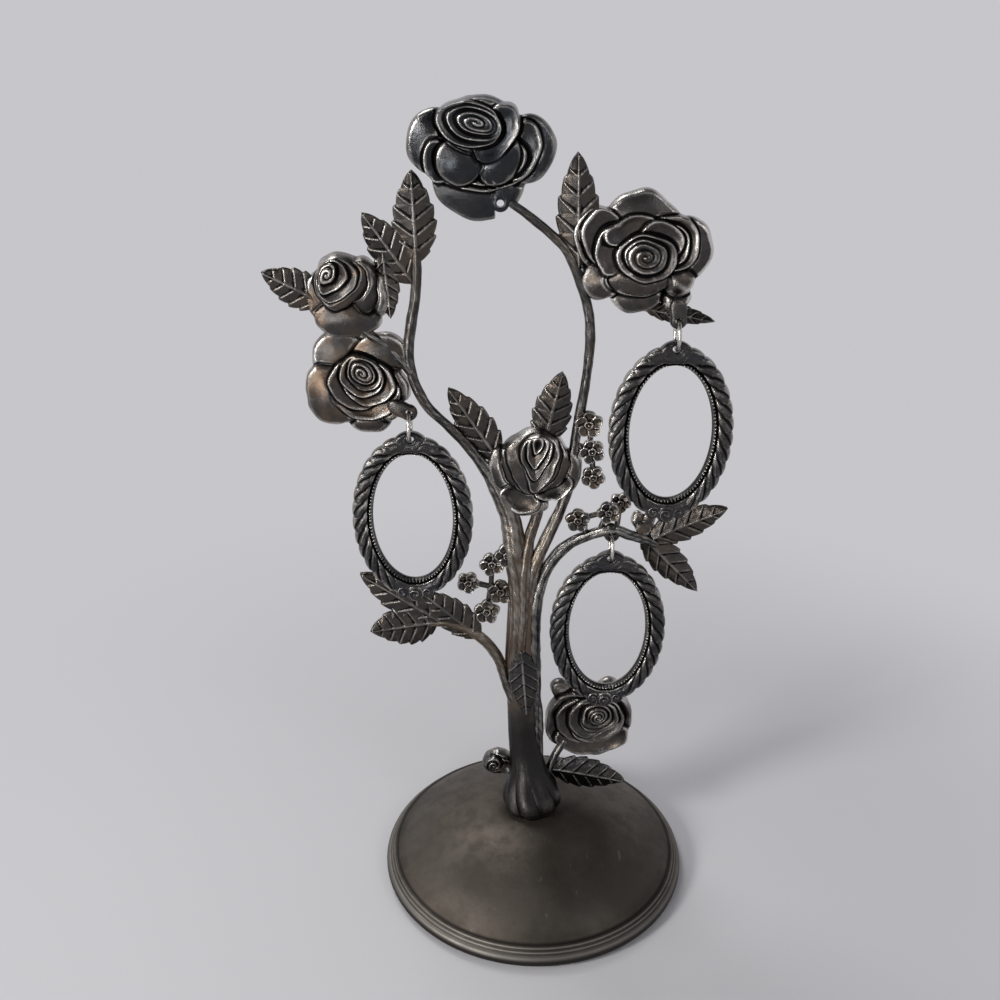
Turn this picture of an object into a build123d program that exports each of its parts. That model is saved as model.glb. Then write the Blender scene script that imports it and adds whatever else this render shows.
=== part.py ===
# Photo tree stand: a cast rose tree on a domed base, with three oval frames hung on jump rings.
# Millimetres. The origin is the centre of the underside, +Z is up and the tree faces -Y.
# Places on the tree are shares of its rise above the base: across, outward and upward.
# Each casting is cut by the castings it is soldered to, so neighbours meet face to face.
from build123d import *
import math
import os

os.makedirs("parts", exist_ok=True)

# Overall sizes
tree_height = 268.0
base_diameter = 108.0
base_height = 23.8

tree_rise = tree_height - base_height

# Base shell
base_wall = 2.0
rim_band_height = 3.9
rim_band_bulge = 1.3
rim_bead_height = 1.05
rim_bead_bulge = 0.45
rim_step = 0.9
dome_step = 0.8
dome_crown = 3.4
seat_diameter = 17.0
felt_thickness = 1.0
felt_inset = 2.6

# Fastening of the tree to the base
screw_diameter = 5.0
screw_clearance = 0.25
thread_clearance = 0.1
screw_grip = 13.0
screw_head_diameter = 9.0
screw_head_height = 3.0
screw_slot_width = 1.2
screw_slot_depth = 1.4
washer_diameter = 12.0
washer_thickness = 1.0

# Trunk and stems, all but the foot on its seat as shares of the rise
foot_width = 19.5
trunk_width = 0.0491 * tree_rise
trunk_depth = 0.0262 * tree_rise
side_stem_width = 0.0147 * tree_rise
arch_stem_width = 0.0172 * tree_rise
branch_width = 0.0164 * tree_rise
twig_width = 0.0123 * tree_rise

# Leaves
leaf_thickness = 0.0045 * tree_rise
leaf_crown = 0.0053 * tree_rise
leaf_teeth = 7
leaf_foot_share = 0.12
leaf_valley_share = 0.86
leaf_tooth_lean_share = 0.8
leaf_belly_power = 0.8
leaf_fullness_power = 0.85
trunk_leaf_thickness = 0.0037 * tree_rise
trunk_leaf_width_share = 0.36

# Roses: half of the outline's width and the depth of the relief, as shares of the rise
rose_top_radius = 0.0844 * tree_rise
rose_right_radius = 0.0852 * tree_rise
rose_left_upper_radius = 0.0524 * tree_rise
rose_left_lower_radius = 0.0688 * tree_rise
rose_centre_radius = 0.0606 * tree_rise
rose_foot_radius = 0.0631 * tree_rise
rose_bud_radius = 0.0254 * tree_rise
rose_top_depth = 0.041 * tree_rise
rose_right_depth = 0.0369 * tree_rise
rose_left_upper_depth = 0.0348 * tree_rise
rose_left_lower_depth = 0.0348 * tree_rise
rose_centre_depth = 0.0348 * tree_rise
rose_foot_depth = 0.0328 * tree_rise
rose_bud_depth = 0.0246 * tree_rise
calyx_depth = 0.0098 * tree_rise
relief_levels = 7
calyx_levels = 2

# Blossoms
blossom_radius = 0.0164 * tree_rise
blossom_depth = 0.0074 * tree_rise
blossom_petals = 5
blossom_petal_share = 0.46
blossom_eye_share = 0.3
stalk_width = 0.0078 * tree_rise

# Hanging holes, rings and frames
hole_diameter = 2.2
lug_width = 5.2
lug_thickness = 3.0
lug_reach = 0.0287 * tree_rise
lug_clearing = 0.0369 * tree_rise
ring_diameter = 8.8
ring_wire = 1.2
ring_lift = 0.13
aperture_width = 25.4
aperture_height = 43.4
frame_band = 6.6
frame_thickness = 3.0
frame_hole_diameter = 2.4
frame_hole_rise = 5.4
frame_boss_radius = 6.0
frame_boss_rise = 7.7
medallion_radius = 3.2
medallion_proud = 0.4
bead_step_width = 1.7
frame_edge_step = 0.8
gadroon_length = 4.6
gadroon_width = 2.6
gadroon_proud = 0.5
gadroon_lean = 45
gadroons_per_side = 14
gadroon_first_angle = -62

# Depths of the planes that the castings lie in, as shares of the rise
stem_plane_share = 0.006
leaf_plane_share = 0.0105
hang_plane_share = -0.014

overrun = base_wall
across = Vector(1, 0, 0)
outward = Vector(0, 1, 0)
upward = Vector(0, 0, 1)


def place(across_share, outward_share, up_share):
    """A place on the tree from its shares of the rise."""
    return Vector(
        across_share * tree_rise,
        outward_share * tree_rise,
        base_height + up_share * tree_rise,
    )


def front_plane(centre):
    """An upright plane at centre that faces the front, with its y axis upward."""
    return Plane(origin=centre, x_dir=across, z_dir=-outward)


def make_stem(station_shares, width, depth_share):
    """A stem lofted through ellipses square to its route: across, outward, up, width share."""
    route = [place(x, y, z) for x, y, z, size in station_shares]
    last = len(route) - 1
    with BuildPart() as stem:
        for index, station in enumerate(station_shares):
            ahead = route[min(index + 1, last)] - route[max(index - 1, 0)]
            side = ahead.cross(outward)
            with BuildSketch(Plane(origin=route[index], x_dir=side, z_dir=ahead)):
                Ellipse(width * station[3] / 2, width * depth_share * station[3] / 2)
        loft(ruled=True)
    return stem.part


def make_rose(centre, radius, depth, petal_shares):
    """A rose in relief, built up in levels on a flat back, with a calyx behind it.

    A petal is across, up, half width, half height, turn in degrees, reach forward.
    Each petal draws in from level to level, and ends at the last level within its reach.
    """
    back = front_plane(centre)
    with BuildPart() as rose:
        for level in range(relief_levels):
            level_share = level / relief_levels
            with BuildSketch(back.offset(depth * level_share)):
                for x, z, half_width, half_height, turn, reach in petal_shares:
                    if reach > level_share:
                        size = radius * (1 - (level_share / reach) ** 2 / 2)
                        with Locations((x * radius, z * radius)):
                            Ellipse(half_width * size, half_height * size, rotation=turn)
            extrude(amount=depth / relief_levels)
        for level in range(calyx_levels):
            with BuildSketch(back.offset(-calyx_depth * level / calyx_levels)):
                Circle(radius / (level + 2))
            extrude(amount=-calyx_depth / calyx_levels)
    return rose.part


def leaf_half_width_share(along_share):
    """Half width of a leaf at a share of its length: broad past the foot, pointed at the tip."""
    return math.sin(math.pi * along_share ** leaf_belly_power) ** leaf_fullness_power


def make_leaf(foot, tip, width_share, thickness, crown):
    """A serrated leaf with a raised midrib, from its foot to its tip."""
    axis = tip - foot
    length = axis.length
    half_width = length * width_share / 2
    flat = Plane(origin=foot, x_dir=axis, z_dir=-outward)
    edge = [(0, half_width * leaf_foot_share)]
    for tooth in range(leaf_teeth):
        valley = (tooth + leaf_foot_share) / leaf_teeth
        peak = (tooth + leaf_tooth_lean_share) / leaf_teeth
        valley_width = max(leaf_half_width_share(valley) * leaf_valley_share, leaf_foot_share)
        edge.append((length * valley, half_width * valley_width))
        edge.append((length * peak, half_width * leaf_half_width_share(peak)))
    edge.append((length, 0))
    far_edge = [(along, -aside) for along, aside in reversed(edge[:-1])]
    with BuildPart() as leaf:
        with BuildSketch(Plane(origin=foot, x_dir=flat.y_dir, z_dir=flat.x_dir)):
            with BuildLine():
                Polyline(
                    (-half_width, 0),
                    (0, crown),
                    (half_width, 0),
                    (half_width, thickness),
                    (0, crown + thickness),
                    (-half_width, thickness),
                    close=True,
                )
            make_face()
        extrude(amount=length)
        with BuildSketch(flat):
            with BuildLine():
                Polyline(*edge, *far_edge, close=True)
            make_face()
        extrude(amount=crown + thickness, mode=Mode.INTERSECT)
    return leaf.part


def make_blossom(centre):
    """A small blossom: five round petals about a round eye."""
    petal_radius = blossom_radius * blossom_petal_share
    eye_radius = blossom_radius * blossom_eye_share
    with BuildPart() as blossom:
        with BuildSketch(front_plane(centre)):
            with PolarLocations(blossom_radius - petal_radius, blossom_petals, start_angle=90):
                Circle(petal_radius)
            Circle(blossom_radius / 2)
        extrude(amount=blossom_depth)
        with BuildSketch(front_plane(centre).offset(blossom_depth)):
            Circle(eye_radius)
        extrude(amount=blossom_depth / 3)
    return blossom.part


def make_spray(blossom_shares, stalk_shares):
    """Blossoms on stalks: each stalk is a straight rod between two places."""
    with BuildPart() as spray:
        for start_shares, end_shares in stalk_shares:
            run = place(*end_shares) - place(*start_shares)
            with BuildSketch(Plane(origin=place(*start_shares), z_dir=run)):
                Circle(stalk_width / 2)
            extrude(amount=run.length)
        add([make_blossom(place(*blossom)) for blossom in blossom_shares])
    return spray.part


def cut_by(piece, *neighbours):
    """The piece without what its neighbours fill."""
    with BuildPart() as rest:
        add(piece)
        for neighbour in neighbours:
            add(neighbour, mode=Mode.SUBTRACT)
    return rest.part


def with_lug(piece, hole, carrier):
    """The piece with a flat lug round a hanging hole, which runs back towards its carrier.

    Round the hole the piece is cleared away, so the lug alone is there.
    """
    towards = Vector(carrier.X - hole.X, 0, carrier.Z - hole.Z).normalized() * lug_reach
    middle = hole + towards / 2
    with BuildPart() as whole:
        add(piece)
        with BuildSketch(front_plane(hole)):
            Circle(lug_width / 2)
        extrude(amount=lug_clearing, both=True, mode=Mode.SUBTRACT)
        with BuildSketch(Plane(origin=middle, x_dir=towards, z_dir=-outward)):
            SlotCenterToCenter(lug_reach, lug_width)
        extrude(amount=lug_thickness / 2, both=True)
        with BuildSketch(front_plane(hole)):
            Circle(hole_diameter / 2)
        extrude(amount=lug_clearing, both=True, mode=Mode.SUBTRACT)
    return whole.part


def write(piece, name):
    """Label a finished piece and write its file."""
    piece.label = name
    export_step(piece, f"parts/{name}.step")


# Base: a shell of revolution with a band and two beads round the rim and a flat seat at the top
rim_radius = base_diameter / 2 - rim_band_bulge
low_bead_radius = rim_radius - rim_step
high_bead_radius = low_bead_radius - rim_step
dome_radius = high_bead_radius - dome_step
rim_band_top = felt_thickness + rim_band_height
low_bead_top = rim_band_top + rim_bead_height
high_bead_top = low_bead_top + rim_bead_height
seat_radius = seat_diameter / 2
with BuildPart() as base_dome:
    with BuildSketch(Plane.XZ):
        with BuildLine():
            Line((dome_radius - base_wall, felt_thickness), (rim_radius, felt_thickness))
            SagittaArc((rim_radius, felt_thickness), (rim_radius, rim_band_top), -rim_band_bulge)
            Line((rim_radius, rim_band_top), (low_bead_radius, rim_band_top))
            SagittaArc(
                (low_bead_radius, rim_band_top),
                (low_bead_radius, low_bead_top),
                -rim_bead_bulge,
            )
            Line((low_bead_radius, low_bead_top), (high_bead_radius, low_bead_top))
            SagittaArc(
                (high_bead_radius, low_bead_top),
                (high_bead_radius, high_bead_top),
                -rim_bead_bulge,
            )
            Line((high_bead_radius, high_bead_top), (dome_radius, high_bead_top))
            SagittaArc((dome_radius, high_bead_top), (seat_radius, base_height), -dome_crown)
            Line((seat_radius, base_height), (0, base_height))
            Line((0, base_height), (0, base_height - base_wall))
            Line((0, base_height - base_wall), (seat_radius, base_height - base_wall))
            SagittaArc(
                (seat_radius, base_height - base_wall),
                (dome_radius - base_wall, high_bead_top - base_wall),
                dome_crown,
            )
            Line(
                (dome_radius - base_wall, high_bead_top - base_wall),
                (dome_radius - base_wall, felt_thickness),
            )
        make_face()
    revolve(axis=Axis.Z)
    with Locations((0, 0, base_height)):
        Hole(screw_diameter / 2 + screw_clearance, depth=base_wall + overrun)
write(base_dome.part, "base_dome")

with BuildPart() as base_felt:
    with BuildSketch():
        Circle(base_diameter / 2 - felt_inset)
    extrude(amount=felt_thickness)
write(base_felt.part, "base_felt")

# Screw and washer inside the base
washer_base = base_height - base_wall - washer_thickness
with BuildPart() as foot_washer:
    with BuildSketch(Plane.XY.offset(washer_base)):
        Circle(washer_diameter / 2)
        Circle(screw_diameter / 2 + screw_clearance, mode=Mode.SUBTRACT)
    extrude(amount=washer_thickness)
write(foot_washer.part, "foot_washer")

with BuildPart() as foot_screw:
    with BuildSketch(Plane.XY.offset(washer_base - screw_head_height)):
        Circle(screw_head_diameter / 2)
    extrude(amount=screw_head_height)
    fillet(foot_screw.edges().sort_by(Axis.Z)[0], screw_head_height / 3)
    with BuildSketch(Plane.XY.offset(washer_base - screw_head_height)):
        Rectangle(screw_head_diameter, screw_slot_width)
    extrude(amount=screw_slot_depth, mode=Mode.SUBTRACT)
    with BuildSketch(Plane.XY.offset(washer_base)):
        Circle(screw_diameter / 2)
    extrude(amount=washer_thickness + base_wall + screw_grip)
write(foot_screw.part, "foot_screw")

# Trunk: level sections from the seat to the crown, as across, outward, up,
# width as a share of the trunk's or, in the foot, of the foot's, and depth likewise
foot_section_shares = [
    (-0.002, 0, 0, 0.86, 0.86),
    (-0.004, 0, 0.014, 1, 0.98),
    (-0.005, 0.001, 0.035, 0.93, 0.88),
    (-0.008, 0.003, 0.062, 0.76, 0.66),
]
trunk_section_shares = [
    (-0.014, 0.006, 0.092, 0.86, 1.3),
    (-0.020, 0.008, 0.125, 0.72, 1.12),
    (-0.020, 0.009, 0.185, 0.8, 1.06),
    (-0.019, 0.009, 0.255, 0.98, 1.06),
    (-0.019, 0.008, 0.328, 0.84, 1.03),
    (-0.0165, 0.007, 0.383, 0.97, 1.05),
    (-0.0176, 0.006, 0.425, 1.33, 1.3),
]
screw_hole_depth = screw_grip + screw_clearance
with BuildPart() as trunk_body:
    for x, y, z, wide, deep in foot_section_shares:
        with BuildSketch(Plane.XY.move(Location(place(x, y, z)))):
            Ellipse(foot_width * wide / 2, foot_width * deep / 2)
    for x, y, z, wide, deep in trunk_section_shares:
        with BuildSketch(Plane.XY.move(Location(place(x, y, z)))):
            Ellipse(trunk_width * wide / 2, trunk_depth * deep / 2)
    loft()
with BuildPart() as trunk:
    add(trunk_body.part)
    with BuildSketch(Plane.XY.offset(base_height)):
        Circle(screw_diameter / 2 + thread_clearance)
    extrude(amount=screw_hole_depth, mode=Mode.SUBTRACT)
write(trunk.part, "trunk")

# Stems: across, outward, up and width share of each station
side_stem_shares = [
    (0.012, 0.004, 0.046, 0.9),
    (0.008, 0.007, 0.07, 1),
    (0.006, 0.008, 0.1, 1),
    (0.005, 0.008, 0.146, 1),
    (0.002, 0.008, 0.185, 0.9),
    (-0.006, 0.008, 0.215, 0.8),
]
left_arch_shares = [
    (-0.022, 0.006, 0.37, 1),
    (-0.031, 0.006, 0.43, 1.75),
    (-0.0365, 0.006, 0.47, 1.6),
    (-0.0495, 0.006, 0.503, 1.3),
    (-0.068, 0.006, 0.538, 0.95),
    (-0.092, 0.006, 0.573, 0.78),
    (-0.119, 0.006, 0.602, 0.72),
    (-0.142, 0.006, 0.626, 0.72),
    (-0.158, 0.006, 0.66, 0.72),
    (-0.163, 0.006, 0.697, 0.74),
    (-0.159, 0.006, 0.731, 0.76),
    (-0.153, 0.006, 0.764, 0.76),
    (-0.150, 0.006, 0.798, 0.7),
    (-0.150, 0.006, 0.825, 0.5),
]
right_arch_shares = [
    (-0.006, 0.006, 0.395, 0.9),
    (0.012, 0.006, 0.44, 0.88),
    (0.031, 0.006, 0.486, 0.84),
    (0.042, 0.006, 0.525, 0.8),
    (0.045, 0.006, 0.566, 0.76),
    (0.050, 0.006, 0.607, 0.72),
    (0.056, 0.006, 0.647, 0.7),
    (0.060, 0.006, 0.686, 0.7),
    (0.061, 0.006, 0.72, 0.7),
    (0.057, 0.006, 0.752, 0.7),
    (0.044, 0.006, 0.792, 0.7),
    (0.029, 0.006, 0.822, 0.66),
    (0.007, 0.006, 0.844, 0.62),
    (-0.021, 0.006, 0.866, 0.58),
    (-0.040, 0.006, 0.879, 0.55),
]
centre_stem_shares = [
    (-0.018, 0.006, 0.39, 0.9),
    (-0.011, 0.006, 0.44, 0.85),
    (0.000, 0.006, 0.481, 0.8),
    (0.001, 0.006, 0.53, 0.7),
]
right_branch_shares = [
    (-0.010, 0.006, 0.335, 1),
    (0.004, 0.006, 0.37, 1),
    (0.017, 0.005, 0.402, 1),
    (0.038, 0, 0.431, 0.95),
    (0.064, -0.008, 0.45, 0.9),
    (0.0966, hang_plane_share, 0.458, 0.85),
    (0.122, -0.006, 0.45, 0.85),
    (0.143, 0.002, 0.44, 0.8),
    (0.160, 0.006, 0.43, 0.6),
]
left_branch_shares = [
    (-0.024, 0.008, 0.165, 1.1),
    (-0.040, 0.008, 0.213, 1),
    (-0.052, 0.008, 0.25, 0.95),
    (-0.070, 0.008, 0.278, 0.9),
    (-0.096, 0.008, 0.299, 0.85),
    (-0.124, 0.008, 0.309, 0.8),
    (-0.148, 0.008, 0.308, 0.6),
]
rose_stem_shares = [
    (-0.160, 0.006, 0.67, 1),
    (-0.185, 0.006, 0.7, 1),
    (-0.215, 0.006, 0.722, 1),
    (-0.240, 0.006, 0.735, 0.9),
]
foot_rose_stem_shares = [
    (0.008, 0.006, 0.02, 1),
    (0.020, 0.012, 0.05, 1),
    (0.032, 0.018, 0.078, 1),
    (0.046, 0.024, 0.1, 1),
]
side_stem = cut_by(make_stem(side_stem_shares, side_stem_width, 1), trunk_body.part)
left_arch_stem = cut_by(make_stem(left_arch_shares, arch_stem_width, 0.9), trunk_body.part)
centre_stem = cut_by(make_stem(centre_stem_shares, arch_stem_width, 0.9), trunk_body.part, left_arch_stem)
right_arch_stem = cut_by(make_stem(right_arch_shares, arch_stem_width, 0.9), trunk_body.part)
left_low_branch = cut_by(make_stem(left_branch_shares, branch_width, 0.9), trunk_body.part)
left_rose_stem = cut_by(make_stem(rose_stem_shares, twig_width, 1), left_arch_stem)
foot_rose_stem = cut_by(make_stem(foot_rose_stem_shares, twig_width, 1), trunk_body.part, side_stem)
write(side_stem, "side_stem")
write(left_arch_stem, "left_arch_stem")
write(centre_stem, "centre_stem")
write(right_arch_stem, "right_arch_stem")
write(left_low_branch, "left_low_branch")
write(left_rose_stem, "left_rose_stem")
write(foot_rose_stem, "foot_rose_stem")

# Hanging holes: the frames hang in the first three, and the one in the top lug is empty
hole_shares = {
    "left": (-0.1635, hang_plane_share, 0.6245),
    "right_lower": (0.0966, hang_plane_share, 0.4557),
    "right_upper": (0.165, hang_plane_share, 0.742),
    "top": (-0.0495, stem_plane_share, 0.877),
}
holes = {name: place(*shares) for name, shares in hole_shares.items()}

right_branch_stem = make_stem(right_branch_shares, branch_width, 0.9)
branch_hole = holes["right_lower"]
right_branch_root = place(*right_branch_shares[4][:3])
right_branch_lugged = with_lug(right_branch_stem, branch_hole, right_branch_root)
right_low_branch = cut_by(right_branch_lugged, trunk_body.part, right_arch_stem)
write(right_low_branch, "right_low_branch")

# Roses: each petal is across, up, half width, half height, turn in degrees, reach forward
rose_top_petal_shares = [
    (-0.57, 0.22, 0.41, 0.43, 0, 0.45),
    (0.62, 0.14, 0.37, 0.46, 0, 0.45),
    (0.03, 0.47, 0.52, 0.42, 0, 0.55),
    (-0.01, -0.28, 0.64, 0.58, 0, 0.5),
    (0.01, 0.1, 0.72, 0.52, 0, 0.7),
    (-0.24, -0.06, 0.24, 0.28, 10, 0.92),
    (0.23, -0.02, 0.23, 0.3, -10, 0.92),
    (-0.05, 0.48, 0.5, 0.33, -12, 0.88),
    (-0.05, 0.48, 0.31, 0.2, -12, 0.94),
    (-0.05, 0.48, 0.16, 0.1, -12, 1),
]
rose_right_petal_shares = [
    (-0.66, 0.1, 0.34, 0.58, 10, 0.4),
    (-0.62, 0.38, 0.38, 0.34, 30, 0.55),
    (0.16, 0.4, 0.6, 0.45, -8, 0.5),
    (0.62, 0.04, 0.4, 0.56, 8, 0.5),
    (-0.05, -0.6, 0.4, 0.28, 0, 0.45),
    (0.42, -0.55, 0.3, 0.26, 20, 0.4),
    (-0.05, -0.42, 0.44, 0.3, 0, 0.62),
    (0.46, -0.36, 0.34, 0.28, 20, 0.62),
    (0.08, 0, 0.58, 0.52, 0, 0.78),
    (0.12, -0.06, 0.36, 0.32, 0, 0.88),
    (0.12, -0.06, 0.2, 0.19, 0, 0.94),
    (0.12, -0.06, 0.08, 0.08, 0, 1),
]
rose_left_upper_petal_shares = [
    (-0.05, 0, 0.92, 0.86, 0, 0.5),
    (-0.1, -0.45, 0.8, 0.5, 0, 0.45),
    (0.72, -0.08, 0.26, 0.5, 8, 0.45),
    (0.36, 0.12, 0.32, 0.58, 8, 0.75),
    (-0.42, 0.2, 0.58, 0.62, -20, 0.75),
    (-0.55, 0.24, 0.36, 0.42, -20, 0.86),
    (-0.6, 0.28, 0.19, 0.24, -20, 0.95),
    (-0.61, 0.29, 0.08, 0.11, -20, 1),
]
rose_left_lower_petal_shares = [
    (-0.62, -0.23, 0.38, 0.45, 0, 0.45),
    (0.5, -0.1, 0.38, 0.44, 0, 0.45),
    (-0.36, 0.5, 0.5, 0.46, 0, 0.45),
    (0.39, 0.5, 0.5, 0.46, 0, 0.45),
    (0.16, -0.62, 0.36, 0.34, 0, 0.45),
    (0.18, -0.2, 0.5, 0.5, 0, 0.66),
    (0.04, 0.16, 0.46, 0.44, 0, 0.8),
    (0.04, 0.18, 0.28, 0.27, 0, 0.9),
    (0.04, 0.19, 0.12, 0.12, 0, 1),
]
rose_centre_petal_shares = [
    (-0.5, 0.04, 0.48, 0.8, 6, 0.5),
    (0.54, 0.04, 0.44, 0.76, -6, 0.5),
    (-0.35, -0.5, 0.52, 0.44, -25, 0.55),
    (0.4, -0.52, 0.52, 0.4, 20, 0.55),
    (0, 0.12, 0.6, 0.82, 0, 0.72),
    (0.06, 0.32, 0.44, 0.56, 0, 0.84),
    (0.07, 0.46, 0.26, 0.34, 0, 0.93),
    (0.07, 0.54, 0.12, 0.16, 0, 1),
]
rose_foot_petal_shares = [
    (-0.05, 0, 0.92, 0.88, 0, 0.45),
    (-0.58, 0.72, 0.26, 0.26, 0, 0.35),
    (0.4, 0.78, 0.3, 0.2, 0, 0.35),
    (0.25, -0.62, 0.58, 0.34, 0, 0.5),
    (0.1, 0, 0.66, 0.6, 0, 0.65),
    (0.16, 0.04, 0.38, 0.36, 0, 0.78),
    (0.17, 0.06, 0.22, 0.22, 0, 0.9),
    (0.17, 0.06, 0.1, 0.1, 0, 1),
]
bud_petal_shares = [
    (0, 0, 0.95, 0.8, 0, 0.7),
    (-0.3, 0.1, 0.5, 0.5, 0, 1),
    (0.4, -0.1, 0.45, 0.5, 0, 0.9),
]
rose_centre_shares = {
    "top": (-0.0745, 0.013, 0.93),
    "right": (0.1215, 0.013, 0.818),
    "left_upper": (-0.2315, 0.013, 0.762),
    "left_lower": (-0.225, 0.013, 0.657),
    "centre": (-0.003, 0.009, 0.539),
    "foot": (0.080, 0.032, 0.133),
    "bud": (-0.052, 0.024, 0.064),
}
rose_centres = {name: place(*shares) for name, shares in rose_centre_shares.items()}

rose_top_body = make_rose(
    rose_centres["top"],
    rose_top_radius,
    rose_top_depth,
    rose_top_petal_shares,
)
rose_top = cut_by(with_lug(rose_top_body, holes["top"], rose_centres["top"]), right_arch_stem)
write(rose_top, "rose_top")

rose_right_body = make_rose(
    rose_centres["right"],
    rose_right_radius,
    rose_right_depth,
    rose_right_petal_shares,
)
above_hole = holes["right_upper"] + upward * lug_reach
rose_right_lugged = with_lug(rose_right_body, holes["right_upper"], above_hole)
rose_right = cut_by(rose_right_lugged, right_arch_stem)
write(rose_right, "rose_right")

rose_left_upper = cut_by(
    make_rose(
        rose_centres["left_upper"],
        rose_left_upper_radius,
        rose_left_upper_depth,
        rose_left_upper_petal_shares,
    ),
    left_rose_stem,
    left_arch_stem,
)
write(rose_left_upper, "rose_left_upper")

rose_left_lower_body = make_rose(
    rose_centres["left_lower"],
    rose_left_lower_radius,
    rose_left_lower_depth,
    rose_left_lower_petal_shares,
)
rose_left_lower = cut_by(
    with_lug(rose_left_lower_body, holes["left"], rose_centres["left_lower"]),
    left_rose_stem,
    left_arch_stem,
    rose_left_upper,
)
write(rose_left_lower, "rose_left_lower")

rose_centre = cut_by(
    make_rose(rose_centres["centre"], rose_centre_radius, rose_centre_depth, rose_centre_petal_shares),
    left_arch_stem,
    centre_stem,
    right_arch_stem,
)
write(rose_centre, "rose_centre")

rose_foot = cut_by(
    make_rose(rose_centres["foot"], rose_foot_radius, rose_foot_depth, rose_foot_petal_shares),
    foot_rose_stem,
)
write(rose_foot, "rose_foot")

foot_bud = cut_by(
    make_rose(rose_centres["bud"], rose_bud_radius, rose_bud_depth, bud_petal_shares),
    trunk_body.part,
)
write(foot_bud, "foot_bud")

# Leaves: across and up of the foot and of the tip, width as a share of the length,
# and the plane's place outward
leaf_shares = {
    "leaf_outer_left": ((-0.1545, 0.782), (-0.212, 0.867), 0.5, leaf_plane_share),
    "leaf_inner_left": ((-0.150, 0.806), (-0.153, 0.915), 0.5, leaf_plane_share),
    "leaf_top_right": ((0.0445, 0.8), (0.040, 0.935), 0.4, leaf_plane_share),
    "leaf_far_left": ((-0.262, 0.757), (-0.336, 0.797), 0.5, leaf_plane_share),
    "leaf_centre_left": ((-0.050, 0.55), (-0.115, 0.651), 0.42, leaf_plane_share),
    "leaf_centre_right": ((0.006, 0.57), (0.028, 0.672), 0.5, leaf_plane_share),
    "leaf_under_right_rose": ((0.127, 0.75), (0.213, 0.735), 0.3, 0.016),
    "leaf_branch_right_upper": ((0.148, 0.437), (0.249, 0.486), 0.45, leaf_plane_share),
    "leaf_branch_right_lower": ((0.140, 0.442), (0.218, 0.362), 0.42, leaf_plane_share),
    "leaf_branch_left_far": ((-0.130, 0.311), (-0.229, 0.299), 0.4, leaf_plane_share),
    "leaf_branch_left_mid": ((-0.132, 0.312), (-0.239, 0.388), 0.38, leaf_plane_share),
    "leaf_branch_left_near": ((-0.078, 0.285), (-0.156, 0.36), 0.42, leaf_plane_share),
    "leaf_foot": ((0.024, 0.05), (0.136, 0.03), 0.36, 0.026),
    "leaf_left_rose": ((-0.190, 0.82), (-0.183, 0.74), 0.42, leaf_plane_share),
}

# The castings that each leaf is soldered to, and the leaves that it overlaps
leaf_neighbours = {
    "leaf_outer_left": [left_arch_stem],
    "leaf_inner_left": [left_arch_stem, rose_top],
    "leaf_top_right": [right_arch_stem, rose_right],
    "leaf_far_left": [rose_left_upper],
    "leaf_centre_left": [left_arch_stem, rose_centre],
    "leaf_centre_right": [rose_centre, right_arch_stem],
    "leaf_under_right_rose": [rose_right],
    "leaf_branch_right_upper": [right_low_branch],
    "leaf_branch_right_lower": [right_low_branch],
    "leaf_branch_left_far": [left_low_branch],
    "leaf_branch_left_mid": [left_low_branch],
    "leaf_branch_left_near": [left_low_branch],
    "leaf_foot": [trunk_body.part, foot_rose_stem],
    "leaf_left_rose": [rose_left_upper],
}
leaf_pairs = {
    "leaf_inner_left": ["leaf_outer_left"],
    "leaf_branch_right_lower": ["leaf_branch_right_upper"],
    "leaf_branch_left_mid": ["leaf_branch_left_far"],
    "leaf_branch_left_near": ["leaf_branch_left_mid", "leaf_branch_left_far"],
    "leaf_left_rose": ["leaf_outer_left"],
}
leaves = {}
for name, (foot_shares, tip_shares, width_share, outward_share) in leaf_shares.items():
    foot = place(foot_shares[0], outward_share, foot_shares[1])
    tip = place(tip_shares[0], outward_share, tip_shares[1])
    leaf = make_leaf(foot, tip, width_share, leaf_thickness, leaf_crown)
    earlier_leaves = [leaves[other] for other in leaf_pairs.get(name, [])]
    leaves[name] = cut_by(leaf, *leaf_neighbours[name], *earlier_leaves)
    write(leaves[name], name)

# The leaf that lies on the trunk
trunk_leaf_foot = place(-0.020, -0.0005, 0.265)
trunk_leaf_tip = place(-0.008, -0.0005, 0.178)
trunk_leaf = cut_by(
    make_leaf(
        trunk_leaf_foot,
        trunk_leaf_tip,
        trunk_leaf_width_share,
        trunk_leaf_thickness,
        trunk_leaf_thickness / 2,
    ),
    trunk_body.part,
)
write(trunk_leaf, "trunk_leaf")

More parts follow.
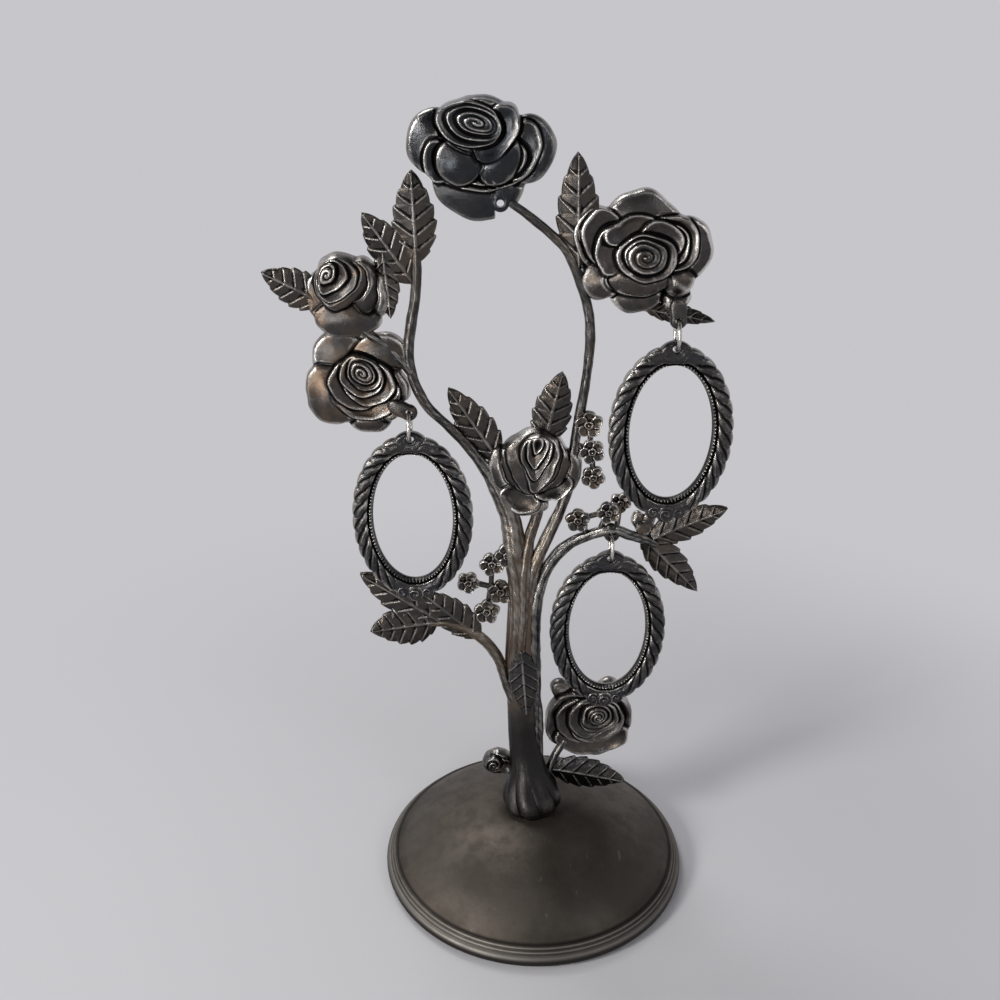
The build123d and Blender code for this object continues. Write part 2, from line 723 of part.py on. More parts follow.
# Blossom sprays: the blossoms' places, and the stalks' stations
spray_shares = {
    "blossoms_centre": (
        [(0.063, 0.003, 0.603), (0.068, 0.003, 0.566), (0.071, 0.003, 0.53)],
        [
            ((0.063, 0.006, 0.603), (0.068, 0.006, 0.566)),
            ((0.068, 0.006, 0.566), (0.071, 0.006, 0.53)),
            ((0.046, 0.006, 0.575), (0.068, 0.006, 0.566)),
        ],
    ),
    "blossoms_right": (
        [(0.052, -0.009, 0.474), (0.091, -0.013, 0.487)],
        [
            ((0.052, -0.007, 0.474), (0.091, -0.010, 0.487)),
            ((0.064, -0.007, 0.45), (0.058, -0.007, 0.474)),
            ((0.078, -0.0105, 0.454), (0.091, -0.011, 0.487)),
        ],
    ),
    "blossom_branch_end": (
        [(0.139, 0.002, 0.465)],
        [((0.136, 0.003, 0.442), (0.139, 0.003, 0.465))],
    ),
    "blossoms_left": (
        [(-0.049, 0.003, 0.361), (-0.061, 0.003, 0.403), (-0.093, 0.003, 0.375), (-0.068, 0.003, 0.33)],
        [
            ((-0.030, 0.006, 0.363), (-0.063, 0.006, 0.366)),
            ((-0.060, 0.006, 0.366), (-0.093, 0.006, 0.375)),
            ((-0.062, 0.006, 0.362), (-0.061, 0.006, 0.403)),
            ((-0.062, 0.006, 0.369), (-0.068, 0.006, 0.33)),
        ],
    ),
}
spray_neighbours = {
    "blossoms_centre": [right_arch_stem, rose_centre, leaves["leaf_centre_right"]],
    "blossoms_right": [right_low_branch],
    "blossom_branch_end": [right_low_branch, leaves["leaf_branch_right_upper"]],
    "blossoms_left": [trunk_body.part, left_low_branch, leaves["leaf_branch_left_near"]],
}
for name, (blossom_shares, stalk_shares) in spray_shares.items():
    write(cut_by(make_spray(blossom_shares, stalk_shares), *spray_neighbours[name]), name)

# Frames: an oval band with slanted gadroons, a beaded step round the opening,
# a boss with the hanging hole at the top and a medallion at the bottom
aperture_half_width = aperture_width / 2
aperture_half_height = aperture_height / 2
outer_half_width = aperture_half_width + frame_band
outer_half_height = aperture_half_height + frame_band
step_half_width = aperture_half_width + bead_step_width
step_half_height = aperture_half_height + bead_step_width
ring_drop = ring_diameter / 2 - ring_lift
frame_drop = ring_diameter - 2 * ring_lift + aperture_half_height + frame_hole_rise
gadroon_zone = frame_band - bead_step_width
gadroon_angle_step = 2 * abs(gadroon_first_angle) / (gadroons_per_side - 1)


gadroon_rows = []
for side in (1, -1):
    row = []
    for index in range(gadroons_per_side):
        angle = gadroon_first_angle + index * gadroon_angle_step
        x = side * (step_half_width + gadroon_zone / 2) * math.cos(math.radians(angle))
        y = (step_half_height + gadroon_zone / 2) * math.sin(math.radians(angle))
        row.append((x, y, side * (angle - gadroon_lean)))
    gadroon_rows.append(row)

# The frame in its own place: the opening's centre is the origin, seen from the front
boss_centre = aperture_half_height + frame_boss_rise - frame_boss_radius
frame_hole_centre = aperture_half_height + frame_hole_rise
medallion_centre = -(aperture_half_height + frame_band - medallion_radius / 2)
frame_back = front_plane(Vector(0, frame_thickness / 2, 0))
with BuildPart() as frame:
    with BuildSketch(frame_back):
        Ellipse(outer_half_width, outer_half_height)
        with Locations((0, boss_centre)):
            Circle(frame_boss_radius)
        with Locations((0, medallion_centre)):
            Circle(medallion_radius)
        Ellipse(aperture_half_width, aperture_half_height, mode=Mode.SUBTRACT)
        with Locations((0, frame_hole_centre)):
            Circle(frame_hole_diameter / 2, mode=Mode.SUBTRACT)
    extrude(amount=frame_thickness - frame_edge_step)
    with BuildSketch(frame_back.offset(frame_thickness - frame_edge_step)):
        Ellipse(outer_half_width - frame_edge_step, outer_half_height - frame_edge_step)
        with Locations((0, boss_centre)):
            Circle(frame_boss_radius - frame_edge_step)
        Ellipse(step_half_width, step_half_height, mode=Mode.SUBTRACT)
        with Locations((0, frame_hole_centre)):
            Circle(frame_hole_diameter / 2, mode=Mode.SUBTRACT)
    extrude(amount=frame_edge_step)
    with BuildSketch(frame_back.offset(frame_thickness - frame_edge_step)):
        with Locations((0, medallion_centre)):
            Circle(medallion_radius - frame_edge_step)
    extrude(amount=frame_edge_step + medallion_proud)
    for gadroon_places in gadroon_rows:
        with BuildSketch(frame_back.offset(frame_thickness)):
            for x, y, lean in gadroon_places:
                with Locations((x, y)):
                    Ellipse(gadroon_length / 2, gadroon_width / 2, rotation=lean)
        extrude(amount=gadroon_proud)

# A jump ring, edge on to the front
with BuildPart() as ring:
    Torus(ring_diameter / 2, ring_wire / 2, rotation=(0, 90, 0))

for side in ("left", "right_lower", "right_upper"):
    write(ring.part.moved(Location(holes[side] - upward * ring_drop)), f"ring_{side}")
    write(frame.part.moved(Location(holes[side] - upward * frame_drop)), f"frame_{side}")
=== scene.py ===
"""Looks of a cast rose tree with hanging oval frames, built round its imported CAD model.

Metres. The tree faces -Y, +X is to the right and +Z is up, as in the CAD model.
Cast pieces are modelled in relief, and each point keeps how worn and how sunken it is.
"""
import logging
import math
from dataclasses import dataclass
from enum import Enum

import bmesh
import bpy
import numpy as np
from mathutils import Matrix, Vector


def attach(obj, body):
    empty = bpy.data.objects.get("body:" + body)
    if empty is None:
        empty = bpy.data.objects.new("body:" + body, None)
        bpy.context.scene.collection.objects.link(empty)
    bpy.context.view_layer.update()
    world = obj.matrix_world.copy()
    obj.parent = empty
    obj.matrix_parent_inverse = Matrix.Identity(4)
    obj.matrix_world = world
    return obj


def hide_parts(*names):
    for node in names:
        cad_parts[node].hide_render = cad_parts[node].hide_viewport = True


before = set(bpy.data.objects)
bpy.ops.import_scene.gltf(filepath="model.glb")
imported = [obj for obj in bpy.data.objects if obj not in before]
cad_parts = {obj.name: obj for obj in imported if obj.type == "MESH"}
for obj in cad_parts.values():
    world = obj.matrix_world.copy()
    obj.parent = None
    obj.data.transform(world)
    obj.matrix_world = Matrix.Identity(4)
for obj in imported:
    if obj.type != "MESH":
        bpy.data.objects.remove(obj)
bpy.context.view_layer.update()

log = logging.getLogger("photo_tree")

Array = np.ndarray
Socket = bpy.types.NodeSocket
Material = bpy.types.Material
Pair = tuple[float, float]
Triple = tuple[float, float, float]

MM = 0.001
TURN = 2 * math.pi
RISE = 244.2 * MM
BASE_HEIGHT = 23.8 * MM
TREE = "tree"


def place(across: float, outward: float, up: float) -> Vector:
    """A place in metres, from its shares of the tree's rise: right, back and above the base."""
    return Vector((across * RISE, outward * RISE, BASE_HEIGHT + up * RISE))


def smooth_step(value: Array | float) -> Array:
    """An even ramp from 0 to 1 with soft ends."""
    held = np.clip(value, 0.0, 1.0)
    return held * held * (3.0 - 2.0 * held)


def ridge(distance: Array | float, width: float) -> Array:
    """A rounded ridge of height 1 that fades out over its width."""
    return np.exp(-((distance / width) ** 2))


def around(steps: int) -> Array:
    """Even angles round a full turn."""
    return np.linspace(0.0, TURN, steps, endpoint=False)


def spots(x: Array | float, y: Array | float, z: Array | float) -> Array:
    """Points from their coordinates, one row each."""
    return np.stack(np.broadcast_arrays(x, y, z), axis=-1)


def evened(values: Array, reach: int, mode: str = "wrap") -> Array:
    """Values drawn smooth over so many neighbours, in a ring or, by mode "edge", along a line."""
    kernel = np.hanning(2 * reach + 1)
    return np.convolve(np.pad(values, reach, mode=mode), kernel / kernel.sum(), mode="valid")


def read_rows(items: bpy.types.bpy_prop_collection, name: str, length: int, kind: type = float) -> Array:
    """Read an attribute of all of a mesh's vertices or edges.

    Args:
        items: the vertices or the edges.
        name: the attribute's name.
        length: how many values each has.
        kind: type of the values.

    Returns:
        The values, one row each.
    """
    values = np.zeros(len(items) * length, kind)
    items.foreach_get(name, values)
    return values.reshape(-1, length)


# Meshes


class Sheet:
    """A mesh put together from grids of points."""

    def __init__(self) -> None:
        """An empty mesh."""
        self.points: list[Array] = []
        self.faces: list[tuple[int, ...]] = []
        self.quiet: list[tuple[int, int]] = []
        self.count = 0

    def add_points(self, points: Array) -> int:
        """Add points.

        Args:
            points: their places, one row each.

        Returns:
            The number of the first one.
        """
        first = self.count
        self.points.append(np.asarray(points, float).reshape(-1, 3))
        self.count += len(self.points[-1])
        return first

    def add_grid(self, grid: list[Array], start: Array | None = None, end: Array | None = None) -> None:
        """Add closed rows of points, with faces between them and fans over the ends.

        Args:
            grid: rows of points, all of one length.
            start: middle of a fan that closes the first row.
            end: middle of a fan that closes the last row.
        """
        rows = np.array(grid)
        count, length = rows.shape[:2]
        first = self.add_points(rows)
        last = first + (count - 1) * length
        steps = np.arange(length)
        after = (steps + 1) % length
        for low in range(first, last, length):
            high = low + length
            quads = np.stack([low + steps, low + after, high + after, high + steps], axis=1)
            self.faces.extend(map(tuple, quads.tolist()))
        for middle, ring, one, other in ((start, first, after, steps), (end, last, steps, after)):
            if middle is not None:
                hub = self.add_points(middle)
                fan = zip((ring + one).tolist(), (ring + other).tolist())
                self.faces.extend((hub, *pair) for pair in fan)

    def finish(self, name: str) -> bpy.types.Object:
        """Make the object.

        Args:
            name: the piece's name.

        Returns:
            The smooth-shaded object with its worn and sunken shares.
        """
        mesh = bpy.data.meshes.new(name)
        mesh.from_pydata(np.concatenate(self.points).tolist(), [], self.faces)
        mesh.validate()
        outward = bmesh.new()
        outward.from_mesh(mesh)
        bmesh.ops.recalc_face_normals(outward, faces=outward.faces)
        outward.to_mesh(mesh)
        outward.free()
        mesh.update()
        mesh.polygons.foreach_set("use_smooth", [True] * len(mesh.polygons))
        piece = bpy.data.objects.new(name, mesh)
        bpy.context.scene.collection.objects.link(piece)
        mark_wear(mesh, self.quiet)
        return piece


def mark_wear(mesh: bpy.types.Mesh, quiet: list[tuple[int, int]]) -> None:
    """Write to each point how proud ("worn") and how sunken ("sunken") it lies, from 0 to 1.

    Args:
        mesh: the mesh, which gets the two point attributes.
        quiet: first and last numbers of points that are hardly worn.
    """
    count = len(mesh.vertices)
    places = read_rows(mesh.vertices, "co", 3)
    normals = read_rows(mesh.vertices, "normal", 3)
    one, other = read_rows(mesh.edges, "vertices", 2, int).T
    weights = 1.0 / (np.linalg.norm(places[one] - places[other], axis=1) + 0.05 * MM)
    total = np.bincount(one, weights, count) + np.bincount(other, weights, count) + 1e-9
    softened = places.copy()
    proud = {}
    for step in range(1, 41):
        for axis in range(3):
            column = softened[:, axis].copy()
            pulled = np.bincount(one, weights * column[other], count)
            pulled += np.bincount(other, weights * column[one], count)
            softened[:, axis] = pulled / total
        if step in (4, 40):
            proud[step] = ((places - softened) * normals).sum(axis=1) / MM
    fine = proud[4] / 0.06
    broad = np.minimum(proud[40] / 0.3, 0.75)
    worn = smooth_step(0.35 * fine + 0.5 * broad)
    for first, last in quiet:
        worn[first:last] *= 0.35
    for name, values in (("worn", worn), ("sunken", smooth_step(-0.45 * fine - 0.4 * broad))):
        attribute = mesh.attributes.new(name, "FLOAT", "POINT")
        attribute.data.foreach_set("value", values.astype(np.float32))


# Finishes


class Nodes:
    """A node tree under construction."""

    def __init__(self, owner: bpy.types.ID) -> None:
        """Start with no nodes but the coordinates.

        Args:
            owner: the material or the world that has the tree.
        """
        self.owner = owner
        owner.use_nodes = True
        self.tree = owner.node_tree
        self.tree.nodes.clear()
        self.coordinates = self.tree.nodes.new("ShaderNodeTexCoord").outputs

    def node(self, kind: str, inputs: dict, output: str | int = 0, **settings: str) -> Socket | None:
        """Add a node.

        Args:
            kind: its type, without the first words.
            inputs: a socket, a number or a colour for each named or numbered input.
            output: the output that is wanted.
            settings: the node's own options.

        Returns:
            The wanted output, or nothing for the last node.
        """
        made = self.tree.nodes.new("ShaderNode" + kind)
        for name, value in settings.items():
            setattr(made, name, value)
        for name, value in inputs.items():
            target = made.inputs[name]
            if isinstance(value, Socket):
                self.tree.links.new(value, target)
            else:
                target.default_value = (*value, 1.0) if target.type == "RGBA" else value
        return made.outputs[output] if len(made.outputs) else None

    def attribute(self, name: str) -> Socket:
        """The share that each point keeps under that name."""
        return self.node("Attribute", {}, "Fac", attribute_name=name)

    def height(self) -> Socket:
        """Height in the object's own space."""
        return self.node("SeparateXYZ", {0: self.coordinates["Object"]}, "Z")

    def noise(
        self, scale: float, detail: float, rough: float, stretch: Triple = (1.0, 1.0, 1.0), turn: float = 0.0
    ) -> Socket:
        """Noise in the object's own space.

        Args:
            scale: cells per metre.
            detail: octaves.
            rough: weight of the finer octaves.
            stretch: scale along each axis.
            turn: angle about the upright axis.

        Returns:
            The noise's value socket.
        """
        turned = {"Vector": self.coordinates["Object"], "Scale": stretch, "Rotation": (0.0, 0.0, turn)}
        spot = self.node("Mapping", turned)
        return self.node(
            "TexNoise", {"Vector": spot, "Scale": scale, "Detail": detail, "Roughness": rough}, "Fac"
        )

    def math(self, operation: str, *values: Socket | float) -> Socket:
        """A math node on sockets or numbers."""
        return self.node("Math", dict(enumerate(values)), operation=operation)

    def times(self, one: Socket, other: Socket | float) -> Socket:
        """The product of two values."""
        return self.math("MULTIPLY", one, other)

    def add(self, one: Socket, other: Socket | float) -> Socket:
        """The sum of two values."""
        return self.math("ADD", one, other)

    def ramp(self, value: Socket, low: float, high: float) -> Socket:
        """The value spread smoothly from 0 at low to 1 at high."""
        ends = {"Value": value, "From Min": low, "From Max": high}
        return self.node("MapRange", ends, "Result", interpolation_type="SMOOTHSTEP")

    def mix(self, share: Socket, one: Socket | Triple, other: Socket | Triple) -> Socket:
        """A colour mixed from two by a share."""
        return self.node("Mix", {0: share, 6: one, 7: other}, 2, data_type="RGBA")

    def blend(self, share: Socket, low: float, high: float) -> Socket:
        """A number from low to high by a share."""
        return self.math("MULTIPLY_ADD", share, high - low, low)

    def finish(
        self, colour: Socket, rough: Socket, fine: Socket, coarse: Socket, depth: float, metallic: float = 1.0
    ) -> Material:
        """Join everything to the shader.

        Args:
            colour: the base colour.
            rough: the roughness.
            fine: the finer noise of the bump.
            coarse: its coarser noise.
            depth: its depth in millimetres.
            metallic: 1 for metal, 0 for cloth.

        Returns:
            The finished material.
        """
        relief = self.add(self.times(coarse, 1.5), fine)
        bump = self.node("Bump", {"Strength": 1.0, "Distance": depth * MM, "Height": relief}, "Normal")
        looks = {"Metallic": metallic, "Base Color": colour, "Roughness": rough, "Normal": bump}
        self.node("OutputMaterial", {"Surface": self.node("BsdfPrincipled", looks)})
        return self.owner


@dataclass(frozen=True)
class CastMetal:
    """Antiqued cast metal: dark in its hollows, mottled on its faces, worn bright on its edges."""

    name: str
    slot: str = "antique_pewter"
    face: Triple = (0.054, 0.051, 0.049)
    tint: Triple = (0.115, 0.088, 0.066)
    hollow: Triple = (0.007, 0.007, 0.007)
    bright: Triple = (0.56, 0.535, 0.5)
    tint_share: float = 0.55
    wear: float = 0.75
    face_roughness: float = 0.3
    hollow_roughness: float = 0.55
    bright_roughness: float = 0.24
    grain: float = 0.07
    tint_zone: Pair | None = None
    dark_below: float | None = None

    def make(self) -> Material:
        """Make the material.

        Returns:
            A node material that reads the points' worn and sunken shares.
        """
        paint = Nodes(bpy.data.materials.new(self.name))
        worn, sunken = paint.attribute("worn"), paint.attribute("sunken")
        blotch = paint.noise(110.0, 4.0, 0.6)
        mottle = paint.noise(520.0, 5.0, 0.65)
        speck = paint.noise(2600.0, 3.0, 0.6)
        patch = paint.noise(75.0, 3.0, 0.55)
        tinted = paint.times(paint.ramp(blotch, 0.42, 0.66), self.tint_share)
        if self.tint_zone is not None:
            low, high = self.tint_zone
            rises = paint.ramp(paint.height(), low - 8 * MM, low + 8 * MM)
            falls = paint.ramp(paint.height(), high + 20 * MM, high - 8 * MM)
            tinted = paint.add(paint.times(tinted, 0.4), paint.times(paint.times(rises, falls), 0.6))
        face = paint.mix(tinted, self.face, self.tint)
        shade = paint.times(paint.ramp(mottle, 0.3, 0.75), 0.4)
        face = paint.mix(shade, face, tuple(c * 1.9 for c in self.face))
        rubbed = paint.add(paint.times(worn, 1.2), paint.add(paint.times(mottle, 0.8), -0.58))
        rubbed = paint.times(paint.ramp(rubbed, 0.1, 0.9), self.wear)
        rubbed = paint.times(rubbed, paint.blend(paint.ramp(patch, 0.38, 0.62), 0.22, 1.2))
        grime = paint.add(sunken, paint.add(paint.times(speck, 0.4), -0.26))
        grime = paint.ramp(grime, 0.08, 0.7)
        if self.dark_below is not None:
            above = paint.ramp(paint.height(), self.dark_below - 8 * MM, self.dark_below + 6 * MM)
            rubbed = paint.times(rubbed, paint.blend(above, 0.35, 1.0))
            face = paint.mix(above, tuple(c * 0.6 for c in self.face), face)
        colour = paint.mix(grime, paint.mix(rubbed, face, self.bright), self.hollow)
        rough = paint.blend(rubbed, self.face_roughness, self.bright_roughness)
        rough = paint.add(rough, paint.times(paint.add(speck, -0.5), 0.2))
        rough = paint.times(rough, paint.math("SUBTRACT", 1.0, grime))
        rough = paint.math("MULTIPLY_ADD", grime, self.hollow_roughness, rough)
        return paint.finish(colour, rough, speck, mottle, self.grain)


@dataclass(frozen=True)
class SatinMetal:
    """Satin pewter of the base: warm grey with faint blotches and hair scratches."""

    name: str = "satin_pewter"
    slot: str = "satin_pewter"
    face: Triple = (0.125, 0.107, 0.09)
    stain: Triple = (0.066, 0.058, 0.048)
    hollow: Triple = (0.03, 0.027, 0.025)
    bright: Triple = (0.4, 0.38, 0.35)
    # top of the rim band, under which the band gets painted shade
    rim_top: float = 5.2 * MM

    def make(self) -> Material:
        """Make the material, with painted shade that darkens the rim band.

        Returns:
            The material.
        """
        paint = Nodes(bpy.data.materials.new(self.name))
        blotch = paint.noise(38.0, 4.0, 0.55)
        mottle = paint.noise(190.0, 6.0, 0.7)
        speck = paint.noise(1900.0, 3.0, 0.6)
        scratch = paint.noise(700.0, 2.0, 0.5, stretch=(1.0, 0.04, 1.0), turn=0.6)
        colour = self.face
        for share, strength, layer in (
            (paint.ramp(blotch, 0.4, 0.66), 0.85, self.stain),
            (paint.ramp(mottle, 0.4, 0.7), 0.5, self.stain),
            (paint.ramp(scratch, 0.7, 0.76), 0.2, self.bright),
            (paint.attribute("worn"), 0.45, self.bright),
            (paint.attribute("sunken"), 0.9, self.hollow),
            # painted shade: the rim band, below rim_top, is darkened to the hollow colour
            (paint.ramp(paint.height(), self.rim_top, self.rim_top - 2 * MM), 0.97, self.hollow),
        ):
            colour = paint.mix(paint.times(share, strength), colour, layer)
        rough = paint.blend(paint.ramp(mottle, 0.3, 0.75), 0.5, 0.62)
        return paint.finish(colour, rough, speck, mottle, 0.025)


@dataclass(frozen=True)
class WireMetal:
    """Bright plated wire with faint drawing marks."""

    name: str = "ring_wire"
    slot: str = "ring_steel"
    face: Triple = (0.62, 0.6, 0.56)
    dull: Triple = (0.28, 0.26, 0.23)
    rough: float = 0.2

    def make(self) -> Material:
        """Make the material.

        Returns:
            The material.
        """
        paint = Nodes(bpy.data.materials.new(self.name))
        mottle = paint.noise(900.0, 4.0, 0.6)
        speck = paint.noise(5200.0, 2.0, 0.5)
        colour = paint.mix(paint.times(paint.ramp(mottle, 0.4, 0.75), 0.7), self.face, self.dull)
        rough = paint.blend(paint.ramp(mottle, 0.3, 0.8), self.rough, self.rough + 0.16)
        return paint.finish(colour, rough, speck, mottle, 0.03)


@dataclass(frozen=True)
class FeltCloth:
    """Dark felt under the base, with a short fuzzy nap."""

    name: str = "felt"
    slot: str = "felt"
    face: Triple = (0.035, 0.034, 0.033)
    lint: Triple = (0.1, 0.098, 0.095)

    def make(self) -> Material:
        """Make the material.

        Returns:
            The material.
        """
        paint = Nodes(bpy.data.materials.new(self.name))
        nap = paint.noise(3200.0, 4.0, 0.7)
        tuft = paint.noise(700.0, 4.0, 0.6)
        colour = paint.mix(paint.times(paint.ramp(nap, 0.35, 0.75), 0.6), self.face, self.lint)
        return paint.finish(colour, paint.blend(tuft, 0.85, 1.0), nap, tuft, 0.5, metallic=0.0)


FINISHES = (
    CastMetal("tree_metal"),
    CastMetal("dark_metal", face=(0.036, 0.036, 0.037), wear=0.45, tint_share=0.25, face_roughness=0.27),
    CastMetal(
        "stem_metal", face=(0.036, 0.035, 0.034), tint=(0.15, 0.11, 0.075), tint_share=0.8, wear=0.34,
        tint_zone=(78 * MM, 132 * MM),
    ),
    CastMetal(
        "trunk_metal", tint=(0.19, 0.128, 0.08), tint_share=0.95, wear=0.42,
        tint_zone=(78 * MM, 128 * MM), dark_below=62 * MM,
    ),
    # right and centre roses: worn edges brighter and stronger than on the other roses, partly real wear and
    # partly painted highlight
    CastMetal("right_rose_metal", wear=1.0, bright=(0.66, 0.635, 0.6)),
    CastMetal("left_rose_metal", wear=0.85, tint=(0.16, 0.105, 0.065), tint_share=0.7),
    CastMetal(
        "top_rose_metal", face=(0.031, 0.033, 0.036), tint_share=0.12, wear=0.6, face_roughness=0.22
    ),
    CastMetal("leaf_metal", face=(0.052, 0.048, 0.045), wear=0.5, bright=(0.42, 0.4, 0.37)),
    CastMetal("blossom_metal", tint=(0.17, 0.13, 0.09), tint_share=0.7, wear=0.8),
    CastMetal("frame_metal", "frame_pewter", face=(0.04, 0.04, 0.042), tint_share=0.2, wear=0.65),
    SatinMetal(),
    WireMetal(),
    WireMetal("screw_plate", "zinc_plate", (0.55, 0.55, 0.56), (0.35, 0.35, 0.36), 0.35),
    FeltCloth(),
)


class Finishes:
    """The object's finishes, each made once."""

    def __init__(self) -> None:
        """Make every material."""
        self.made = {finish.name: (finish.make(), finish.slot) for finish in FINISHES}

    def dress(self, piece: bpy.types.Object, finish: str, body: str, *nodes: str) -> None:
        """Give a piece its finish, its body and the nodes that it stands for.

        Args:
            piece: the finished piece.
            finish: name of the finish.
            body: the body that it rides on.
            nodes: CAD nodes that it replaces.
        """
        material, slot = self.made[finish]
        piece.data.materials.clear()
        piece.data.materials.append(material)
        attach(piece, body)
        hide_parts(*nodes)
        log.info("%s: %d points, %s", piece.name, len(piece.data.vertices), finish)


class Piece:
    """A piece of the object that stands for the CAD node of its name."""

    name: str
    finish = "tree_metal"
    hangs = False

    def add_to(self, sheet: Sheet) -> None:
        """Add the piece's skins to a mesh."""
        raise NotImplementedError

    def build(self, finishes: Finishes) -> None:
        """Make the piece and dress it.

        Args:
            finishes: the finishes to dress it with.
        """
        sheet = Sheet()
        self.add_to(sheet)
        body = f"hanging_{self.name}" if self.hangs else TREE
        finishes.dress(sheet.finish(self.name), self.finish, body, self.name)


# Reliefs


class Form(Enum):
    """How a petal's surface runs inside its outline."""

    CUP = "hollow, higher towards its lip"
    DOME = "swollen"
    SWIRL = "wound up in a spiral"


CUP, DOME, SWIRL = Form


@dataclass(frozen=True)
class Petal:
    """One petal: sizes are shares of the rose's half width, heights shares of its depth."""

    across: float
    up: float
    wide: float
    tall: float
    turn: float
    level: float
    form: Form = CUP
    swell: float = 0.15
    lip: float = 0.22
    lean: float = 0.0
    taper: float = 0.0
    turns: float = 3.0
    fold: float = 0.08
    crease: float = 0.3

    def local(self, across: Array, up: Array) -> tuple[Array, Array]:
        """Places in the petal's own axes, in which its outline is a circle of radius 1.

        Args:
            across: places to the right, as shares.
            up: places upward, as shares.

        Returns:
            The places along the petal's width and height.
        """
        angle = math.radians(self.turn)
        aside, along = across - self.across, up - self.up
        wide = aside * math.cos(angle) + along * math.sin(angle)
        tall = -aside * math.sin(angle) + along * math.cos(angle)
        narrowing = np.clip(1.0 - self.taper * tall / self.tall, 0.15, 3.0)
        return wide / (self.wide * narrowing), tall / self.tall

    def height(self, wide: Array, tall: Array) -> Array:
        """Height of the petal's surface, without its lip.

        Args:
            wide: places along its width, in its own axes.
            tall: places along its height, in its own axes.

        Returns:
            The height as a share of the depth.
        """
        held = np.minimum(np.hypot(wide, tall), 1.2)
        height = self.level + self.lean * tall
        if self.form is CUP:
            return height + self.swell * (held**2 - 0.6)
        if self.form is DOME:
            return height + self.swell * (1.0 - held**2)
        winding = held * self.turns - np.arctan2(tall, wide) / TURN
        part = winding - np.floor(winding)
        skewed = np.where(part < 0.65, part / 1.3, 0.5 + (part - 0.65) / 0.7)
        return height + self.swell * (1.0 - held) + self.fold * np.sin(math.pi * skewed) ** 0.7


@dataclass(frozen=True)
class Lug:
    """A small lug with a hanging hole, drawn out like a drop towards what carries it."""

    hole: Triple
    heading: float
    reach: float = 6.0 * MM
    hole_radius: float = 1.1 * MM
    radius: float = 2.6 * MM
    thickness: float = 3.0 * MM
    spread: float = 4.0
    section: tuple[Pair, ...] = (
        (0.0, -0.75), (0.0, 0.0), (0.0, 0.75), (0.08, 0.94), (0.22, 1.0), (0.45, 0.93), (0.7, 0.8),
        (0.9, 0.5), (1.0, 0.0), (0.9, -0.6), (0.7, -0.9), (0.4, -1.0), (0.2, -1.0), (0.08, -0.94),
        (0.0, -0.75),
    )

    def add_to(self, sheet: Sheet) -> None:
        """Add the lug to a mesh.

        Args:
            sheet: the mesh that takes it.
        """
        angles = around(96)
        forward = np.maximum(np.cos(angles - self.heading), 0.0)
        outer = self.radius + (self.reach - self.radius) * forward**self.spread
        shares, heights = np.array(self.section).T
        run = np.concatenate([[0.0], np.cumsum(np.hypot(np.diff(shares) * 1.6, np.diff(heights)))])
        even = np.linspace(0.0, run[-1], 56)
        rows = []
        for share, height in zip(np.interp(even, run, shares), np.interp(even, run, heights)):
            radius = self.hole_radius + (outer - self.hole_radius) * share
            x, z = self.hole[0] + np.cos(angles) * radius, self.hole[2] + np.sin(angles) * radius
            rows.append(spots(x, self.hole[1] - height * (self.thickness / 2), z))
        first = sheet.count
        sheet.add_grid(rows)
        sheet.quiet.append((first, sheet.count))


